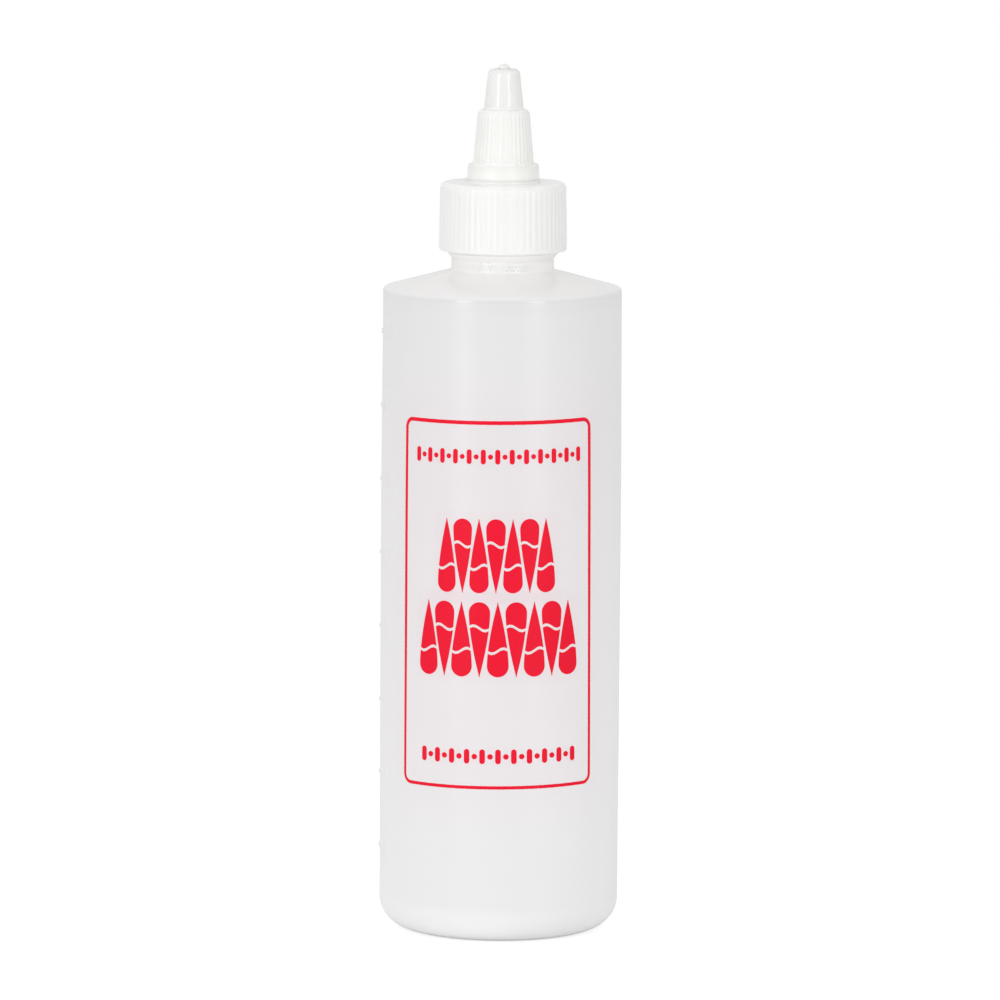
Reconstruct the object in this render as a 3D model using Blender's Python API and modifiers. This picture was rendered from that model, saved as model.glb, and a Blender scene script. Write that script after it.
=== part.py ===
"""A round squeeze bottle with a ribbed screw closure and a twist-open spout.

Units are metres and +Z is up. The origin is the centre of the base, on the surface that the bottle stands on.
The front, which carries the printed border, faces -Y, and the volume marks are on the -X side.
"""

import math

import bmesh
import bpy

# Fits shared by all pieces
FIT_GAP = 0.0003
THREAD_CLEARANCE = 0.00035
OVERRUN = 0.0004
MERGE_DISTANCE = 0.000001

# Bottle body
BODY_RADIUS = 0.0254
BODY_WALL = 0.0008
BASE_THICKNESS = 0.0012
BASE_CORNER_RADIUS = 0.0064
STANDING_RING_WIDTH = 0.0035
PUSH_UP_HEIGHT = 0.0016
PUSH_UP_RAMP = 0.0045
BODY_HEIGHT = 0.1363
SHOULDER_RISE = 0.0039
SHOULDER_CORNER_RADIUS = 0.0013
SHOULDER_WALL = 0.001

# Bottle neck
NECK_RADIUS = 0.0108
NECK_WALL = 0.00205
NECK_FOOT_FILLET = 0.0006
LIP_EDGE_RADIUS = 0.0004
BEAD_RELIEF = 0.001
BEAD_FOOT_HEIGHT = 0.0024
BEAD_FLANK = 0.0013
BEAD_RIM = 0.0012
BEAD_TOP_FLANK = 0.0007

# Neck thread, right-handed, and its mate in the closure
THREAD_PITCH = 0.003175
THREAD_HEIGHT = 0.001
THREAD_ROOT_WIDTH = 0.0018
THREAD_CREST_WIDTH = 0.0008
THREAD_START_BELOW_LIP = 0.0015
THREAD_ABOVE_BEAD = 0.00025
NECK_THREAD_TURNS = 1.5
CLOSURE_THREAD_TURNS = 1.1
CLOSURE_THREAD_CREST_WIDTH = 0.0009
THREAD_FADE_DEG = 20
THREAD_MATE_SHARE = 0.5

# Raised volume marks, one for each 30 millilitres
LOWEST_MARK = 0.0171
MARK_PITCH = 0.01569
MARK_TOP_MARGIN = 0.005
MARK_THICKNESS = 0.0008
MARK_CREST_SHARE = 0.5
MARK_RELIEF = 0.00035
MARK_START_DEG = 88
MARK_END_DEG = 106

# Printed border
BORDER_BELOW_SHOULDER = 0.02582
BORDER_FOOT = 0.03358
BORDER_LEFT_DEG = -50.6
BORDER_RIGHT_DEG = 47.4
BORDER_LINE = 0.00055
BORDER_CORNER = 0.0016
INK_THICKNESS = 0.00015

# Sealing gasket
GASKET_THICKNESS = 0.0008
GASKET_LAP = 0.00075

# Screw closure
SKIRT_WALL = 0.00135
SKIRT_ABOVE_BEAD = 0.0004
CLOSURE_DRAFT = 0.00025
CLOSURE_EDGE_RADIUS = 0.0008
CLOSURE_FOOT_CHAMFER = 0.0003
DECK_THICKNESS = 0.0015
CLOSURE_RIBS = 60
CLOSURE_GROOVE_DEPTH = 0.0003
CLOSURE_PLAIN_FOOT = 0.001
CLOSURE_PLAIN_TOP = 0.0009
GROOVE_RUN_OUT = 0.0006
GROOVE_WIDTH_SHARE = 0.5
SEAT_INSET = 0.0001
SEAT_HEIGHT = 0.0004
SEAT_EDGE_RADIUS = 0.00025

# Post and pin, moulded with the closure
POST_RADIUS = 0.0036
POST_WALL = 0.0012
POST_TOP_GAP = 0.0008
POST_ROOF = 0.0014
POST_TOP_CHAMFER = 0.0005
PORT_WIDTH = 0.0018
PORT_HEIGHT = 0.0026
PORT_BELOW_ROOF = 0.0004
PIN_RADIUS = 0.0013
PIN_FOOT_FLARE = 0.0005
PIN_HEAD_LENGTH = 0.0022
PIN_RISE_ABOVE_TIP = 0.00105

# Twist top
COLLAR_STEP = 0.00131
COLLAR_DRAFT = 0.00024
COLLAR_HEIGHT = 0.0032
COLLAR_EDGE_RADIUS = 0.00025
GRIP_WALL = 0.00192
GRIP_DRAFT = 0.00095
GRIP_HEIGHT = 0.0115
GRIP_EDGE_RADIUS = 0.0011
GRIP_RIBS = 38
GRIP_GROOVE_DEPTH = 0.00022
GRIP_PLAIN_END = 0.0002
NOZZLE_STEP = 0.00126
NOZZLE_DRAFT = 0.0009
NOZZLE_HEIGHT = 0.0085
NOZZLE_EDGE_RADIUS = 0.0008
COLLAR_WALL = 0.0013
COLLAR_BORE_HEIGHT = 0.0022
NOZZLE_WALL = 0.0012
NOZZLE_TOP_WALL = 0.0011
LAND_LENGTH = 0.0016
LAND_TAPER = 0.0006
CHAMBER_TAPER = 0.0012

# Cams that lift the twist top, and the beads that stop it
CAM_SWEEP_DEG = 80
CAM_HEIGHT = 0.0005
CAM_WIDTH = 0.0012
CAM_CREST_WIDTH = 0.0007
CAM_STARTS = 2
TOP_TURN_DEG = 90
POST_CAM_START_DEG = 90
STOP_BEAD_WIDTH = 0.0007

# Facets
BOTTLE_STEPS = 60
CLOSURE_STEPS = CLOSURE_RIBS
TOP_STEPS = GRIP_RIBS
GASKET_STEPS = 48
THREAD_STEPS_PER_TURN = 40
CAM_STEPS = 10
EDGE_STEPS = 2
CORNER_STEPS = 4
BASE_CORNER_STEPS = 6
RAMP_STEPS = 4
MARK_STEPS = 5
BORDER_STEP_DEG = 5
SMOOTH_ANGLE = math.radians(32)

# Heights that follow from the sizes above
NECK_FOOT_Z = BODY_HEIGHT + SHOULDER_RISE
BEAD_LOW_Z = NECK_FOOT_Z + BEAD_FOOT_HEIGHT + BEAD_FLANK
BEAD_TOP_Z = BEAD_LOW_Z + BEAD_RIM + BEAD_TOP_FLANK
THREAD_STACK = (NECK_THREAD_TURNS + THREAD_MATE_SHARE) * THREAD_PITCH + THREAD_ROOT_WIDTH
LIP_Z = BEAD_TOP_Z + THREAD_ABOVE_BEAD + THREAD_STACK + THREAD_START_BELOW_LIP
GASKET_Z = LIP_Z + FIT_GAP
DECK_UNDERSIDE_Z = GASKET_Z + GASKET_THICKNESS + FIT_GAP
DECK_Z = DECK_UNDERSIDE_Z + DECK_THICKNESS
SKIRT_FOOT_Z = BEAD_LOW_Z + SKIRT_ABOVE_BEAD
COLLAR_FOOT_Z = DECK_Z + SEAT_HEIGHT + FIT_GAP
GRIP_FOOT_Z = COLLAR_FOOT_Z + COLLAR_HEIGHT
NOZZLE_FOOT_Z = GRIP_FOOT_Z + GRIP_HEIGHT
TIP_Z = NOZZLE_FOOT_Z + NOZZLE_HEIGHT
POST_TOP_Z = NOZZLE_FOOT_Z - CHAMBER_TAPER - POST_TOP_GAP
PIN_TOP_Z = TIP_Z + PIN_RISE_ABOVE_TIP
TOP_BEAD_Z = COLLAR_FOOT_Z + COLLAR_BORE_HEIGHT + STOP_BEAD_WIDTH / 2
BORDER_TOP_Z = BODY_HEIGHT - BORDER_BELOW_SHOULDER

# The cams' lead fills the height between the twist top's stop bead and the post's rim
CAM_SPACE = POST_TOP_Z - POST_TOP_CHAMFER - TOP_BEAD_Z - STOP_BEAD_WIDTH - 2 * FIT_GAP + THREAD_CLEARANCE
CAM_LEAD = CAM_SPACE * 360 / (2 * TOP_TURN_DEG + CAM_SWEEP_DEG)
TOP_LIFT = CAM_LEAD * TOP_TURN_DEG / 360
POST_BEAD_Z = TOP_BEAD_Z + TOP_LIFT + FIT_GAP + STOP_BEAD_WIDTH / 2
TOP_CAM_Z = POST_BEAD_Z + STOP_BEAD_WIDTH / 2 + FIT_GAP + CAM_WIDTH / 2
POST_CAM_Z = TOP_CAM_Z + TOP_LIFT - CAM_WIDTH - THREAD_CLEARANCE

# Radii that follow from the sizes above
NECK_BORE_RADIUS = NECK_RADIUS - NECK_WALL
BEAD_RADIUS = NECK_RADIUS + BEAD_RELIEF
GASKET_BORE_RADIUS = NECK_BORE_RADIUS - GASKET_LAP
THREAD_CREST_RADIUS = NECK_RADIUS + THREAD_HEIGHT
SKIRT_BORE_RADIUS = THREAD_CREST_RADIUS + THREAD_CLEARANCE
CLOSURE_RADIUS = SKIRT_BORE_RADIUS + SKIRT_WALL
CLOSURE_TOP_RADIUS = CLOSURE_RADIUS - CLOSURE_DRAFT
CLOSURE_CREST_RADIUS = NECK_RADIUS + THREAD_CLEARANCE
POST_BORE_RADIUS = POST_RADIUS - POST_WALL
PIN_FOOT_RADIUS = PIN_RADIUS + PIN_FOOT_FLARE
POST_CAM_RADIUS = POST_RADIUS + CAM_HEIGHT
GRIP_BORE_RADIUS = POST_CAM_RADIUS + THREAD_CLEARANCE
GRIP_RADIUS = GRIP_BORE_RADIUS + GRIP_WALL
GRIP_TOP_RADIUS = GRIP_RADIUS - GRIP_DRAFT
NOZZLE_RADIUS = GRIP_TOP_RADIUS - NOZZLE_STEP
NOZZLE_TOP_RADIUS = NOZZLE_RADIUS - NOZZLE_DRAFT
COLLAR_RADIUS = GRIP_RADIUS + COLLAR_STEP
COLLAR_TOP_RADIUS = COLLAR_RADIUS - COLLAR_DRAFT
SEAT_RADIUS = COLLAR_RADIUS - SEAT_INSET
TOP_CAM_RADIUS = POST_RADIUS + THREAD_CLEARANCE
ORIFICE_RADIUS = PIN_RADIUS + FIT_GAP


def clear_scene():
    """Removes every object that the scene starts with."""
    for existing in list(bpy.data.objects):
        bpy.data.objects.remove(existing, do_unlink=True)


def new_collection(name, hidden=False):
    collection = bpy.data.collections.new(name)
    bpy.context.scene.collection.children.link(collection)
    collection.hide_render = hidden
    return collection


def plastic(name, colour, roughness, transmission=0.0):
    """A Principled material for moulded plastic or ink."""
    material = bpy.data.materials.new(name)
    material.use_nodes = True
    material.diffuse_color = (*colour, 1.0)
    shader = material.node_tree.nodes["Principled BSDF"]
    shader.inputs["Base Color"].default_value = (*colour, 1.0)
    shader.inputs["Roughness"].default_value = roughness
    shader.inputs["Metallic"].default_value = 0.0
    shader.inputs["Transmission Weight"].default_value = transmission
    return material


def arc(centre_radius, centre_z, radius, start_deg, end_deg, steps):
    """Points (radius, height) along an arc of a turned profile, both ends included."""
    points = []
    for step in range(steps + 1):
        angle = math.radians(start_deg + (end_deg - start_deg) * step / steps)
        points.append((centre_radius + radius * math.cos(angle), centre_z + radius * math.sin(angle)))
    return points


def rounded_corner(before, corner, after, radius, steps):
    """Points that round the corner of a turned profile between two straight stretches."""
    into = (before[0] - corner[0], before[1] - corner[1])
    out = (after[0] - corner[0], after[1] - corner[1])
    into_length = math.hypot(*into)
    out_length = math.hypot(*out)
    into = (into[0] / into_length, into[1] / into_length)
    out = (out[0] / out_length, out[1] / out_length)
    half = math.acos(max(-1.0, min(1.0, into[0] * out[0] + into[1] * out[1]))) / 2
    reach = radius / math.tan(half)
    middle = (into[0] + out[0], into[1] + out[1])
    middle_length = math.hypot(*middle)
    to_centre = radius / math.sin(half) / middle_length
    centre = (corner[0] + middle[0] * to_centre, corner[1] + middle[1] * to_centre)
    start = math.atan2(corner[1] + into[1] * reach - centre[1], corner[0] + into[0] * reach - centre[0])
    end = math.atan2(corner[1] + out[1] * reach - centre[1], corner[0] + out[0] * reach - centre[0])
    turn = (end - start + math.pi) % (2 * math.pi) - math.pi
    return arc(*centre, radius, math.degrees(start), math.degrees(start + turn), steps)


def place(name, mesh, collection, material=None):
    piece = bpy.data.objects.new(name, mesh)
    collection.objects.link(piece)
    if material:
        mesh.materials.append(material)
    return piece


def turned(name, profile, steps, collection, material=None):
    """Turns a profile of (radius, height) points about Z. The profile runs down its outer side."""
    mesh = bpy.data.meshes.new(name)
    points = [(radius, 0, height) for radius, height in profile]
    edges = [(index, index + 1) for index in range(len(points) - 1)]
    mesh.from_pydata(points, edges, [])
    piece = place(name, mesh, collection, material)
    screw = piece.modifiers.new("Turn", "SCREW")
    screw.axis = "Z"
    screw.steps = steps
    screw.render_steps = steps
    screw.use_merge_vertices = True
    screw.merge_threshold = MERGE_DISTANCE
    return piece


def loft(name, rings, collection, material=None):
    """A closed solid through rings that have the same number of points, with flat ends."""
    shape = bmesh.new()
    loops = [[shape.verts.new(point) for point in ring] for ring in rings]
    count = len(rings[0])
    for lower, upper in zip(loops, loops[1:]):
        for index in range(count):
            following = (index + 1) % count
            shape.faces.new((lower[index], lower[following], upper[following], upper[index]))
    shape.faces.new(reversed(loops[0]))
    shape.faces.new(loops[-1])
    bmesh.ops.recalc_face_normals(shape, faces=shape.faces)
    mesh = bpy.data.meshes.new(name)
    shape.to_mesh(mesh)
    shape.free()
    return place(name, mesh, collection, material)


def block(name, size, collection):
    """A box of this size, centred on its own origin."""
    shape = bmesh.new()
    bmesh.ops.create_cube(shape, size=1)
    bmesh.ops.scale(shape, vec=size, verts=shape.verts)
    mesh = bpy.data.meshes.new(name)
    shape.to_mesh(mesh)
    shape.free()
    return place(name, mesh, collection)


def merged(name, pieces, collection):
    """Joins loose solids that don't touch into one object, which then cuts or adds in one step."""
    shape = bmesh.new()
    for piece in pieces:
        shape.from_mesh(piece.data)
        bpy.data.objects.remove(piece, do_unlink=True)
    mesh = bpy.data.meshes.new(name)
    shape.to_mesh(mesh)
    shape.free()
    return place(name, mesh, collection)


def at(radius, angle, height):
    """The point at this radius, angle (from +X towards +Y) and height."""
    return (radius * math.cos(angle), radius * math.sin(angle), height)


def helical_ridge(name, wall, crest, root_width, crest_width, foot_z, lead, start, sweep, steps, collection):
    """A thread or cam ridge on a wall of radius wall, from the angle start over the angle sweep.

    The ridge fades out over THREAD_FADE_DEG at both ends. It is sunk into its wall by OVERRUN.
    """
    outward = 1 if crest > wall else -1
    buried = wall - outward * OVERRUN
    slope = (root_width - crest_width) / abs(crest - wall)
    buried_width = root_width + slope * OVERRUN
    fade = math.radians(THREAD_FADE_DEG)
    rings = []
    for step in range(steps + 1):
        turned_by = sweep * step / steps
        angle = start + turned_by
        middle = foot_z + lead * turned_by / (2 * math.pi)
        share = min(1, turned_by / fade, (sweep - turned_by) / fade)
        top = wall + (crest - wall) * share
        top_width = crest_width + (root_width - crest_width) * (1 - share)
        rings.append(
            [
                at(buried, angle, middle - buried_width / 2),
                at(top, angle, middle - top_width / 2),
                at(top, angle, middle + top_width / 2),
                at(buried, angle, middle + buried_width / 2),
            ]
        )
    return loft(name, rings, collection)


def bead(wall, crest, middle_z):
    """Points of a stop bead on a wall, listed downwards."""
    return [(wall, middle_z + STOP_BEAD_WIDTH / 2), (crest, middle_z), (wall, middle_z - STOP_BEAD_WIDTH / 2)]


def grooves(name, count, foot, top, depth, width, run_out, collection):
    """Upright V grooves round a wall, from foot to top, each a (radius, height) point on that wall."""
    cutters = []
    length = math.hypot(top[0] - foot[0], top[1] - foot[1])
    share = run_out / length
    stations = ((0, 0), (share, 1), (1 - share, 1), (1, 0))
    for index in range(count):
        angle = 2 * math.pi * (index + 0.5) / count
        rings = []
        for along, cut in stations:
            wall = foot[0] + (top[0] - foot[0]) * along
            height = foot[1] + (top[1] - foot[1]) * along
            opening = math.atan2(width / 2 * (1 + OVERRUN / depth), wall)
            floor = wall - depth * cut
            outer = wall + OVERRUN
            near = at(outer, angle - opening, height)
            far = at(outer, angle + opening, height)
            rings.append([near, at(floor, angle, height), far])
        cutters.append(loft(f"{name}_{index}", rings, collection))
    return merged(name, cutters, collection)


def combine(piece, operation, other):
    """Adds a Boolean of another object to this piece, and makes the other a helper that isn't rendered."""
    boolean = piece.modifiers.new(other.name, "BOOLEAN")
    boolean.operation = operation
    boolean.solver = "EXACT"
    boolean.object = other
    other.hide_render = True
    other.display_type = "WIRE"


def settle(piece):
    """Applies the modifiers, welds the result and shades it smooth except at its edges."""
    evaluated = piece.evaluated_get(bpy.context.evaluated_depsgraph_get())
    mesh = bpy.data.meshes.new_from_object(evaluated)
    mesh.name = piece.name
    shape = bmesh.new()
    shape.from_mesh(mesh)
    bmesh.ops.remove_doubles(shape, verts=shape.verts, dist=MERGE_DISTANCE)
    bmesh.ops.dissolve_degenerate(shape, edges=shape.edges, dist=MERGE_DISTANCE)
    shape.to_mesh(mesh)
    shape.free()
    piece.modifiers.clear()
    piece.data = mesh
    mesh.shade_smooth()
    mesh.set_sharp_from_angle(angle=SMOOTH_ANGLE)


def base_profile(thickness):
    """The base from its centre out to the standing ring, raised by a thickness of material."""
    ring_inner = BODY_RADIUS - BASE_CORNER_RADIUS - STANDING_RING_WIDTH
    points = [(0, PUSH_UP_HEIGHT + thickness)]
    for step in range(RAMP_STEPS + 1):
        share = step / RAMP_STEPS
        height = PUSH_UP_HEIGHT * (1 + math.cos(math.pi * share)) / 2
        points.append((ring_inner - PUSH_UP_RAMP * (1 - share), height + thickness))
    return points


def shoulder_line(radius):
    """The height of the shoulder's outer surface at this radius."""
    return BODY_HEIGHT + SHOULDER_RISE * (BODY_RADIUS - radius) / (BODY_RADIUS - NECK_RADIUS)


def make_bottle(collection, helpers, material):
    inner_radius = BODY_RADIUS - BODY_WALL
    inner_corner = BASE_CORNER_RADIUS - BODY_WALL
    ring_outer = BODY_RADIUS - BASE_CORNER_RADIUS
    slope_length = math.hypot(SHOULDER_RISE, BODY_RADIUS - NECK_RADIUS)
    drop = SHOULDER_WALL * slope_length / (BODY_RADIUS - NECK_RADIUS)
    inner_shoulder = (inner_radius, shoulder_line(inner_radius) - drop)
    inner_shoulder_radius = SHOULDER_CORNER_RADIUS - BODY_WALL
    inner_neck = (NECK_BORE_RADIUS, shoulder_line(NECK_BORE_RADIUS) - drop)
    inner_lip = (NECK_BORE_RADIUS, LIP_Z)
    outer_lip = (NECK_RADIUS, LIP_Z)
    neck_foot = (NECK_RADIUS, NECK_FOOT_Z)
    bead_foot = (NECK_RADIUS, NECK_FOOT_Z + BEAD_FOOT_HEIGHT)
    bead_low = (BEAD_RADIUS, BEAD_LOW_Z)
    bead_high = (BEAD_RADIUS, BEAD_LOW_Z + BEAD_RIM)
    bead_top = (NECK_RADIUS, BEAD_TOP_Z)
    shoulder = (BODY_RADIUS, BODY_HEIGHT)

    profile = base_profile(BASE_THICKNESS)
    profile += arc(ring_outer, BASE_THICKNESS + inner_corner, inner_corner, -90, 0, BASE_CORNER_STEPS)
    profile += rounded_corner(profile[-1], inner_shoulder, inner_neck, inner_shoulder_radius, EDGE_STEPS)
    profile += rounded_corner(inner_shoulder, inner_neck, inner_lip, NECK_FOOT_FILLET, EDGE_STEPS)
    profile += rounded_corner(inner_neck, inner_lip, outer_lip, LIP_EDGE_RADIUS, EDGE_STEPS)
    profile += rounded_corner(inner_lip, outer_lip, bead_top, LIP_EDGE_RADIUS, EDGE_STEPS)
    profile += [bead_top, bead_high]
    profile += rounded_corner(bead_high, bead_low, bead_foot, LIP_EDGE_RADIUS, EDGE_STEPS)
    profile += rounded_corner(bead_low, bead_foot, neck_foot, NECK_FOOT_FILLET, EDGE_STEPS)
    profile += rounded_corner(bead_foot, neck_foot, shoulder, NECK_FOOT_FILLET, EDGE_STEPS)
    profile += rounded_corner(neck_foot, shoulder, (BODY_RADIUS, 0), SHOULDER_CORNER_RADIUS, CORNER_STEPS)
    profile += arc(ring_outer, BASE_CORNER_RADIUS, BASE_CORNER_RADIUS, 0, -90, BASE_CORNER_STEPS)
    profile += reversed(base_profile(0))
    bottle = turned("bottle", profile, BOTTLE_STEPS, collection, material)

    top_of_thread = LIP_Z - THREAD_START_BELOW_LIP - THREAD_ROOT_WIDTH / 2
    thread = helical_ridge(
        "neck_thread",
        NECK_RADIUS,
        THREAD_CREST_RADIUS,
        THREAD_ROOT_WIDTH,
        THREAD_CREST_WIDTH,
        top_of_thread - NECK_THREAD_TURNS * THREAD_PITCH,
        THREAD_PITCH,
        0,
        NECK_THREAD_TURNS * 2 * math.pi,
        round(NECK_THREAD_TURNS * THREAD_STEPS_PER_TURN),
        helpers,
    )
    combine(bottle, "UNION", thread)
    combine(bottle, "UNION", volume_marks(helpers))
    return bottle


def volume_marks(helpers):
    """Short raised bars up the side of the bottle, sunk into its wall."""
    marks = []
    mark_count = 1 + math.floor((BODY_HEIGHT - MARK_TOP_MARGIN - LOWEST_MARK) / MARK_PITCH)
    inner = BODY_RADIUS - OVERRUN
    outer = BODY_RADIUS + MARK_RELIEF
    half_root = MARK_THICKNESS / 2
    half_crest = half_root * MARK_CREST_SHARE
    for index in range(mark_count):
        height = LOWEST_MARK + index * MARK_PITCH
        rings = []
        for step in range(MARK_STEPS + 1):
            from_front = MARK_START_DEG + (MARK_END_DEG - MARK_START_DEG) * step / MARK_STEPS
            angle = -math.radians(90 + from_front)
            rings.append(
                [
                    at(inner, angle, height - half_root),
                    at(outer, angle, height - half_crest),
                    at(outer, angle, height + half_crest),
                    at(inner, angle, height + half_root),
                ]
            )
        marks.append(loft(f"volume_mark_{index}", rings, helpers))
    return merged("volume_marks", marks, helpers)


def make_border(collection, material):
    """The printed line: a rounded rectangle wrapped round the front of the bottle."""
    radius = BODY_RADIUS + FIT_GAP
    left = math.radians(BORDER_LEFT_DEG) * BODY_RADIUS
    right = math.radians(BORDER_RIGHT_DEG) * BODY_RADIUS
    step = math.radians(BORDER_STEP_DEG) * BODY_RADIUS
    across = math.ceil((right - left) / step)

    def outline(inset):
        """Points (distance round the bottle, height) of the border's line, anticlockwise."""
        corner = BORDER_CORNER - inset
        low, high = BORDER_FOOT + BORDER_CORNER, BORDER_TOP_Z - BORDER_CORNER
        near, far = left + BORDER_CORNER, right - BORDER_CORNER
        points = []
        corners = ((far, low, -90), (far, high, 0), (near, high, 90), (near, low, 180))
        for centre_x, centre_z, start in corners:
            points += arc(centre_x, centre_z, corner, start, start + 90, CORNER_STEPS)
            if start in (0, 180):
                going = -1 if start == 0 else 1
                end = near if start == 0 else far
                begin = far if start == 0 else near
                height = centre_z - going * corner
                points += [(begin + (end - begin) * part / across, height) for part in range(1, across)]
        return points

    def wrap(point, depth):
        angle = point[0] / BODY_RADIUS - math.pi / 2
        return at(radius + depth, angle, point[1])

    half = BORDER_LINE / 2
    shape = bmesh.new()
    loops = []
    for inset, depth in ((-half, 0), (-half, INK_THICKNESS), (half, INK_THICKNESS), (half, 0)):
        loops.append([shape.verts.new(wrap(point, depth)) for point in outline(inset)])
    count = len(loops[0])
    for first, second in zip(loops, loops[1:] + loops[:1]):
        for index in range(count):
            following = (index + 1) % count
            shape.faces.new((first[index], first[following], second[following], second[index]))
    bmesh.ops.recalc_face_normals(shape, faces=shape.faces)
    mesh = bpy.data.meshes.new("printed_border")
    shape.to_mesh(mesh)
    shape.free()
    return place("printed_border", mesh, collection, material)


def make_gasket(collection, material):
    outer = SKIRT_BORE_RADIUS - THREAD_CLEARANCE
    top = GASKET_Z + GASKET_THICKNESS
    profile = [(GASKET_BORE_RADIUS, GASKET_Z), (GASKET_BORE_RADIUS, top), (outer, top), (outer, GASKET_Z)]
    return turned("sealing_gasket", profile + profile[:1], GASKET_STEPS, collection, material)


def make_closure(collection, helpers, material):
    foot = (CLOSURE_RADIUS, SKIRT_FOOT_Z)
    shoulder = (CLOSURE_TOP_RADIUS, DECK_Z)
    post_foot = (POST_RADIUS, DECK_Z + SEAT_HEIGHT)
    seat_top = (SEAT_RADIUS, post_foot[1])
    seat_foot = (SEAT_RADIUS, DECK_Z)
    roof_z = POST_TOP_Z - POST_ROOF
    pin_neck_z = PIN_TOP_Z - PIN_RADIUS - PIN_HEAD_LENGTH

    chamfer_z = SKIRT_FOOT_Z + CLOSURE_FOOT_CHAMFER
    inside = [(SKIRT_BORE_RADIUS + CLOSURE_FOOT_CHAMFER, SKIRT_FOOT_Z), (SKIRT_BORE_RADIUS, chamfer_z)]
    inside += [(SKIRT_BORE_RADIUS, DECK_UNDERSIDE_Z), (POST_BORE_RADIUS, DECK_UNDERSIDE_Z)]
    inside += [(POST_BORE_RADIUS, roof_z), (0, roof_z)]
    outside = [(0, PIN_TOP_Z)]
    outside += arc(0, PIN_TOP_Z - PIN_RADIUS, PIN_RADIUS, 90, 0, CORNER_STEPS)[1:]
    outside += [(PIN_RADIUS, pin_neck_z), (PIN_FOOT_RADIUS, POST_TOP_Z)]
    outside += [(POST_RADIUS - POST_TOP_CHAMFER, POST_TOP_Z), (POST_RADIUS, POST_TOP_Z - POST_TOP_CHAMFER)]
    outside += bead(POST_RADIUS, POST_CAM_RADIUS, POST_BEAD_Z)
    outside += [post_foot]
    outside += rounded_corner(post_foot, seat_top, seat_foot, SEAT_EDGE_RADIUS, EDGE_STEPS)
    outside += [seat_foot]
    outside += rounded_corner(seat_foot, shoulder, foot, CLOSURE_EDGE_RADIUS, CORNER_STEPS)
    outside += [(CLOSURE_RADIUS, chamfer_z), (CLOSURE_RADIUS - CLOSURE_FOOT_CHAMFER, SKIRT_FOOT_Z)]
    closure = turned("screw_closure", outside + inside, CLOSURE_STEPS, collection, material)

    groove_width = 2 * math.pi * CLOSURE_RADIUS / CLOSURE_RIBS * GROOVE_WIDTH_SHARE
    low = SKIRT_FOOT_Z + CLOSURE_PLAIN_FOOT
    high = DECK_Z - CLOSURE_PLAIN_TOP
    draft = CLOSURE_DRAFT / (DECK_Z - SKIRT_FOOT_Z)
    cutters = grooves(
        "closure_grooves",
        CLOSURE_RIBS,
        (CLOSURE_RADIUS - draft * CLOSURE_PLAIN_FOOT, low),
        (CLOSURE_TOP_RADIUS + draft * CLOSURE_PLAIN_TOP, high),
        CLOSURE_GROOVE_DEPTH,
        groove_width,
        GROOVE_RUN_OUT,
        helpers,
    )
    combine(closure, "DIFFERENCE", cutters)

    top_of_thread = LIP_Z - THREAD_START_BELOW_LIP - THREAD_ROOT_WIDTH / 2
    foot_of_thread = top_of_thread - (NECK_THREAD_TURNS + THREAD_MATE_SHARE) * THREAD_PITCH
    thread = helical_ridge(
        "closure_thread",
        SKIRT_BORE_RADIUS,
        CLOSURE_CREST_RADIUS,
        CLOSURE_THREAD_CREST_WIDTH + THREAD_ROOT_WIDTH - THREAD_CREST_WIDTH,
        CLOSURE_THREAD_CREST_WIDTH,
        foot_of_thread,
        THREAD_PITCH,
        0,
        CLOSURE_THREAD_TURNS * 2 * math.pi,
        round(CLOSURE_THREAD_TURNS * THREAD_STEPS_PER_TURN),
        helpers,
    )
    combine(closure, "UNION", thread)

    ports = block("post_ports", (2 * (POST_RADIUS + OVERRUN), PORT_WIDTH, PORT_HEIGHT), helpers)
    ports.location.z = roof_z - PORT_BELOW_ROOF - PORT_HEIGHT / 2
    ports.rotation_euler.z = math.radians(POST_CAM_START_DEG + (CAM_SWEEP_DEG + 360 / CAM_STARTS) / 2)
    combine(closure, "DIFFERENCE", ports)
    post_cam_start = math.radians(POST_CAM_START_DEG)
    add_cams(closure, "post", POST_RADIUS, POST_CAM_RADIUS, POST_CAM_Z, post_cam_start, helpers)
    return closure


def add_cams(piece, name, wall, crest, foot_z, start, helpers):
    """Adds the cam ridges to a piece, spaced evenly round it."""
    sweep = math.radians(CAM_SWEEP_DEG)
    cams = []
    for index in range(CAM_STARTS):
        angle = start + 2 * math.pi * index / CAM_STARTS
        cam = helical_ridge(
            f"{name}_cam_{index}",
            wall,
            crest,
            CAM_WIDTH,
            CAM_CREST_WIDTH,
            foot_z,
            CAM_LEAD,
            angle,
            sweep,
            CAM_STEPS,
            helpers,
        )
        cams.append(cam)
    combine(piece, "UNION", merged(f"{name}_cams", cams, helpers))


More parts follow.
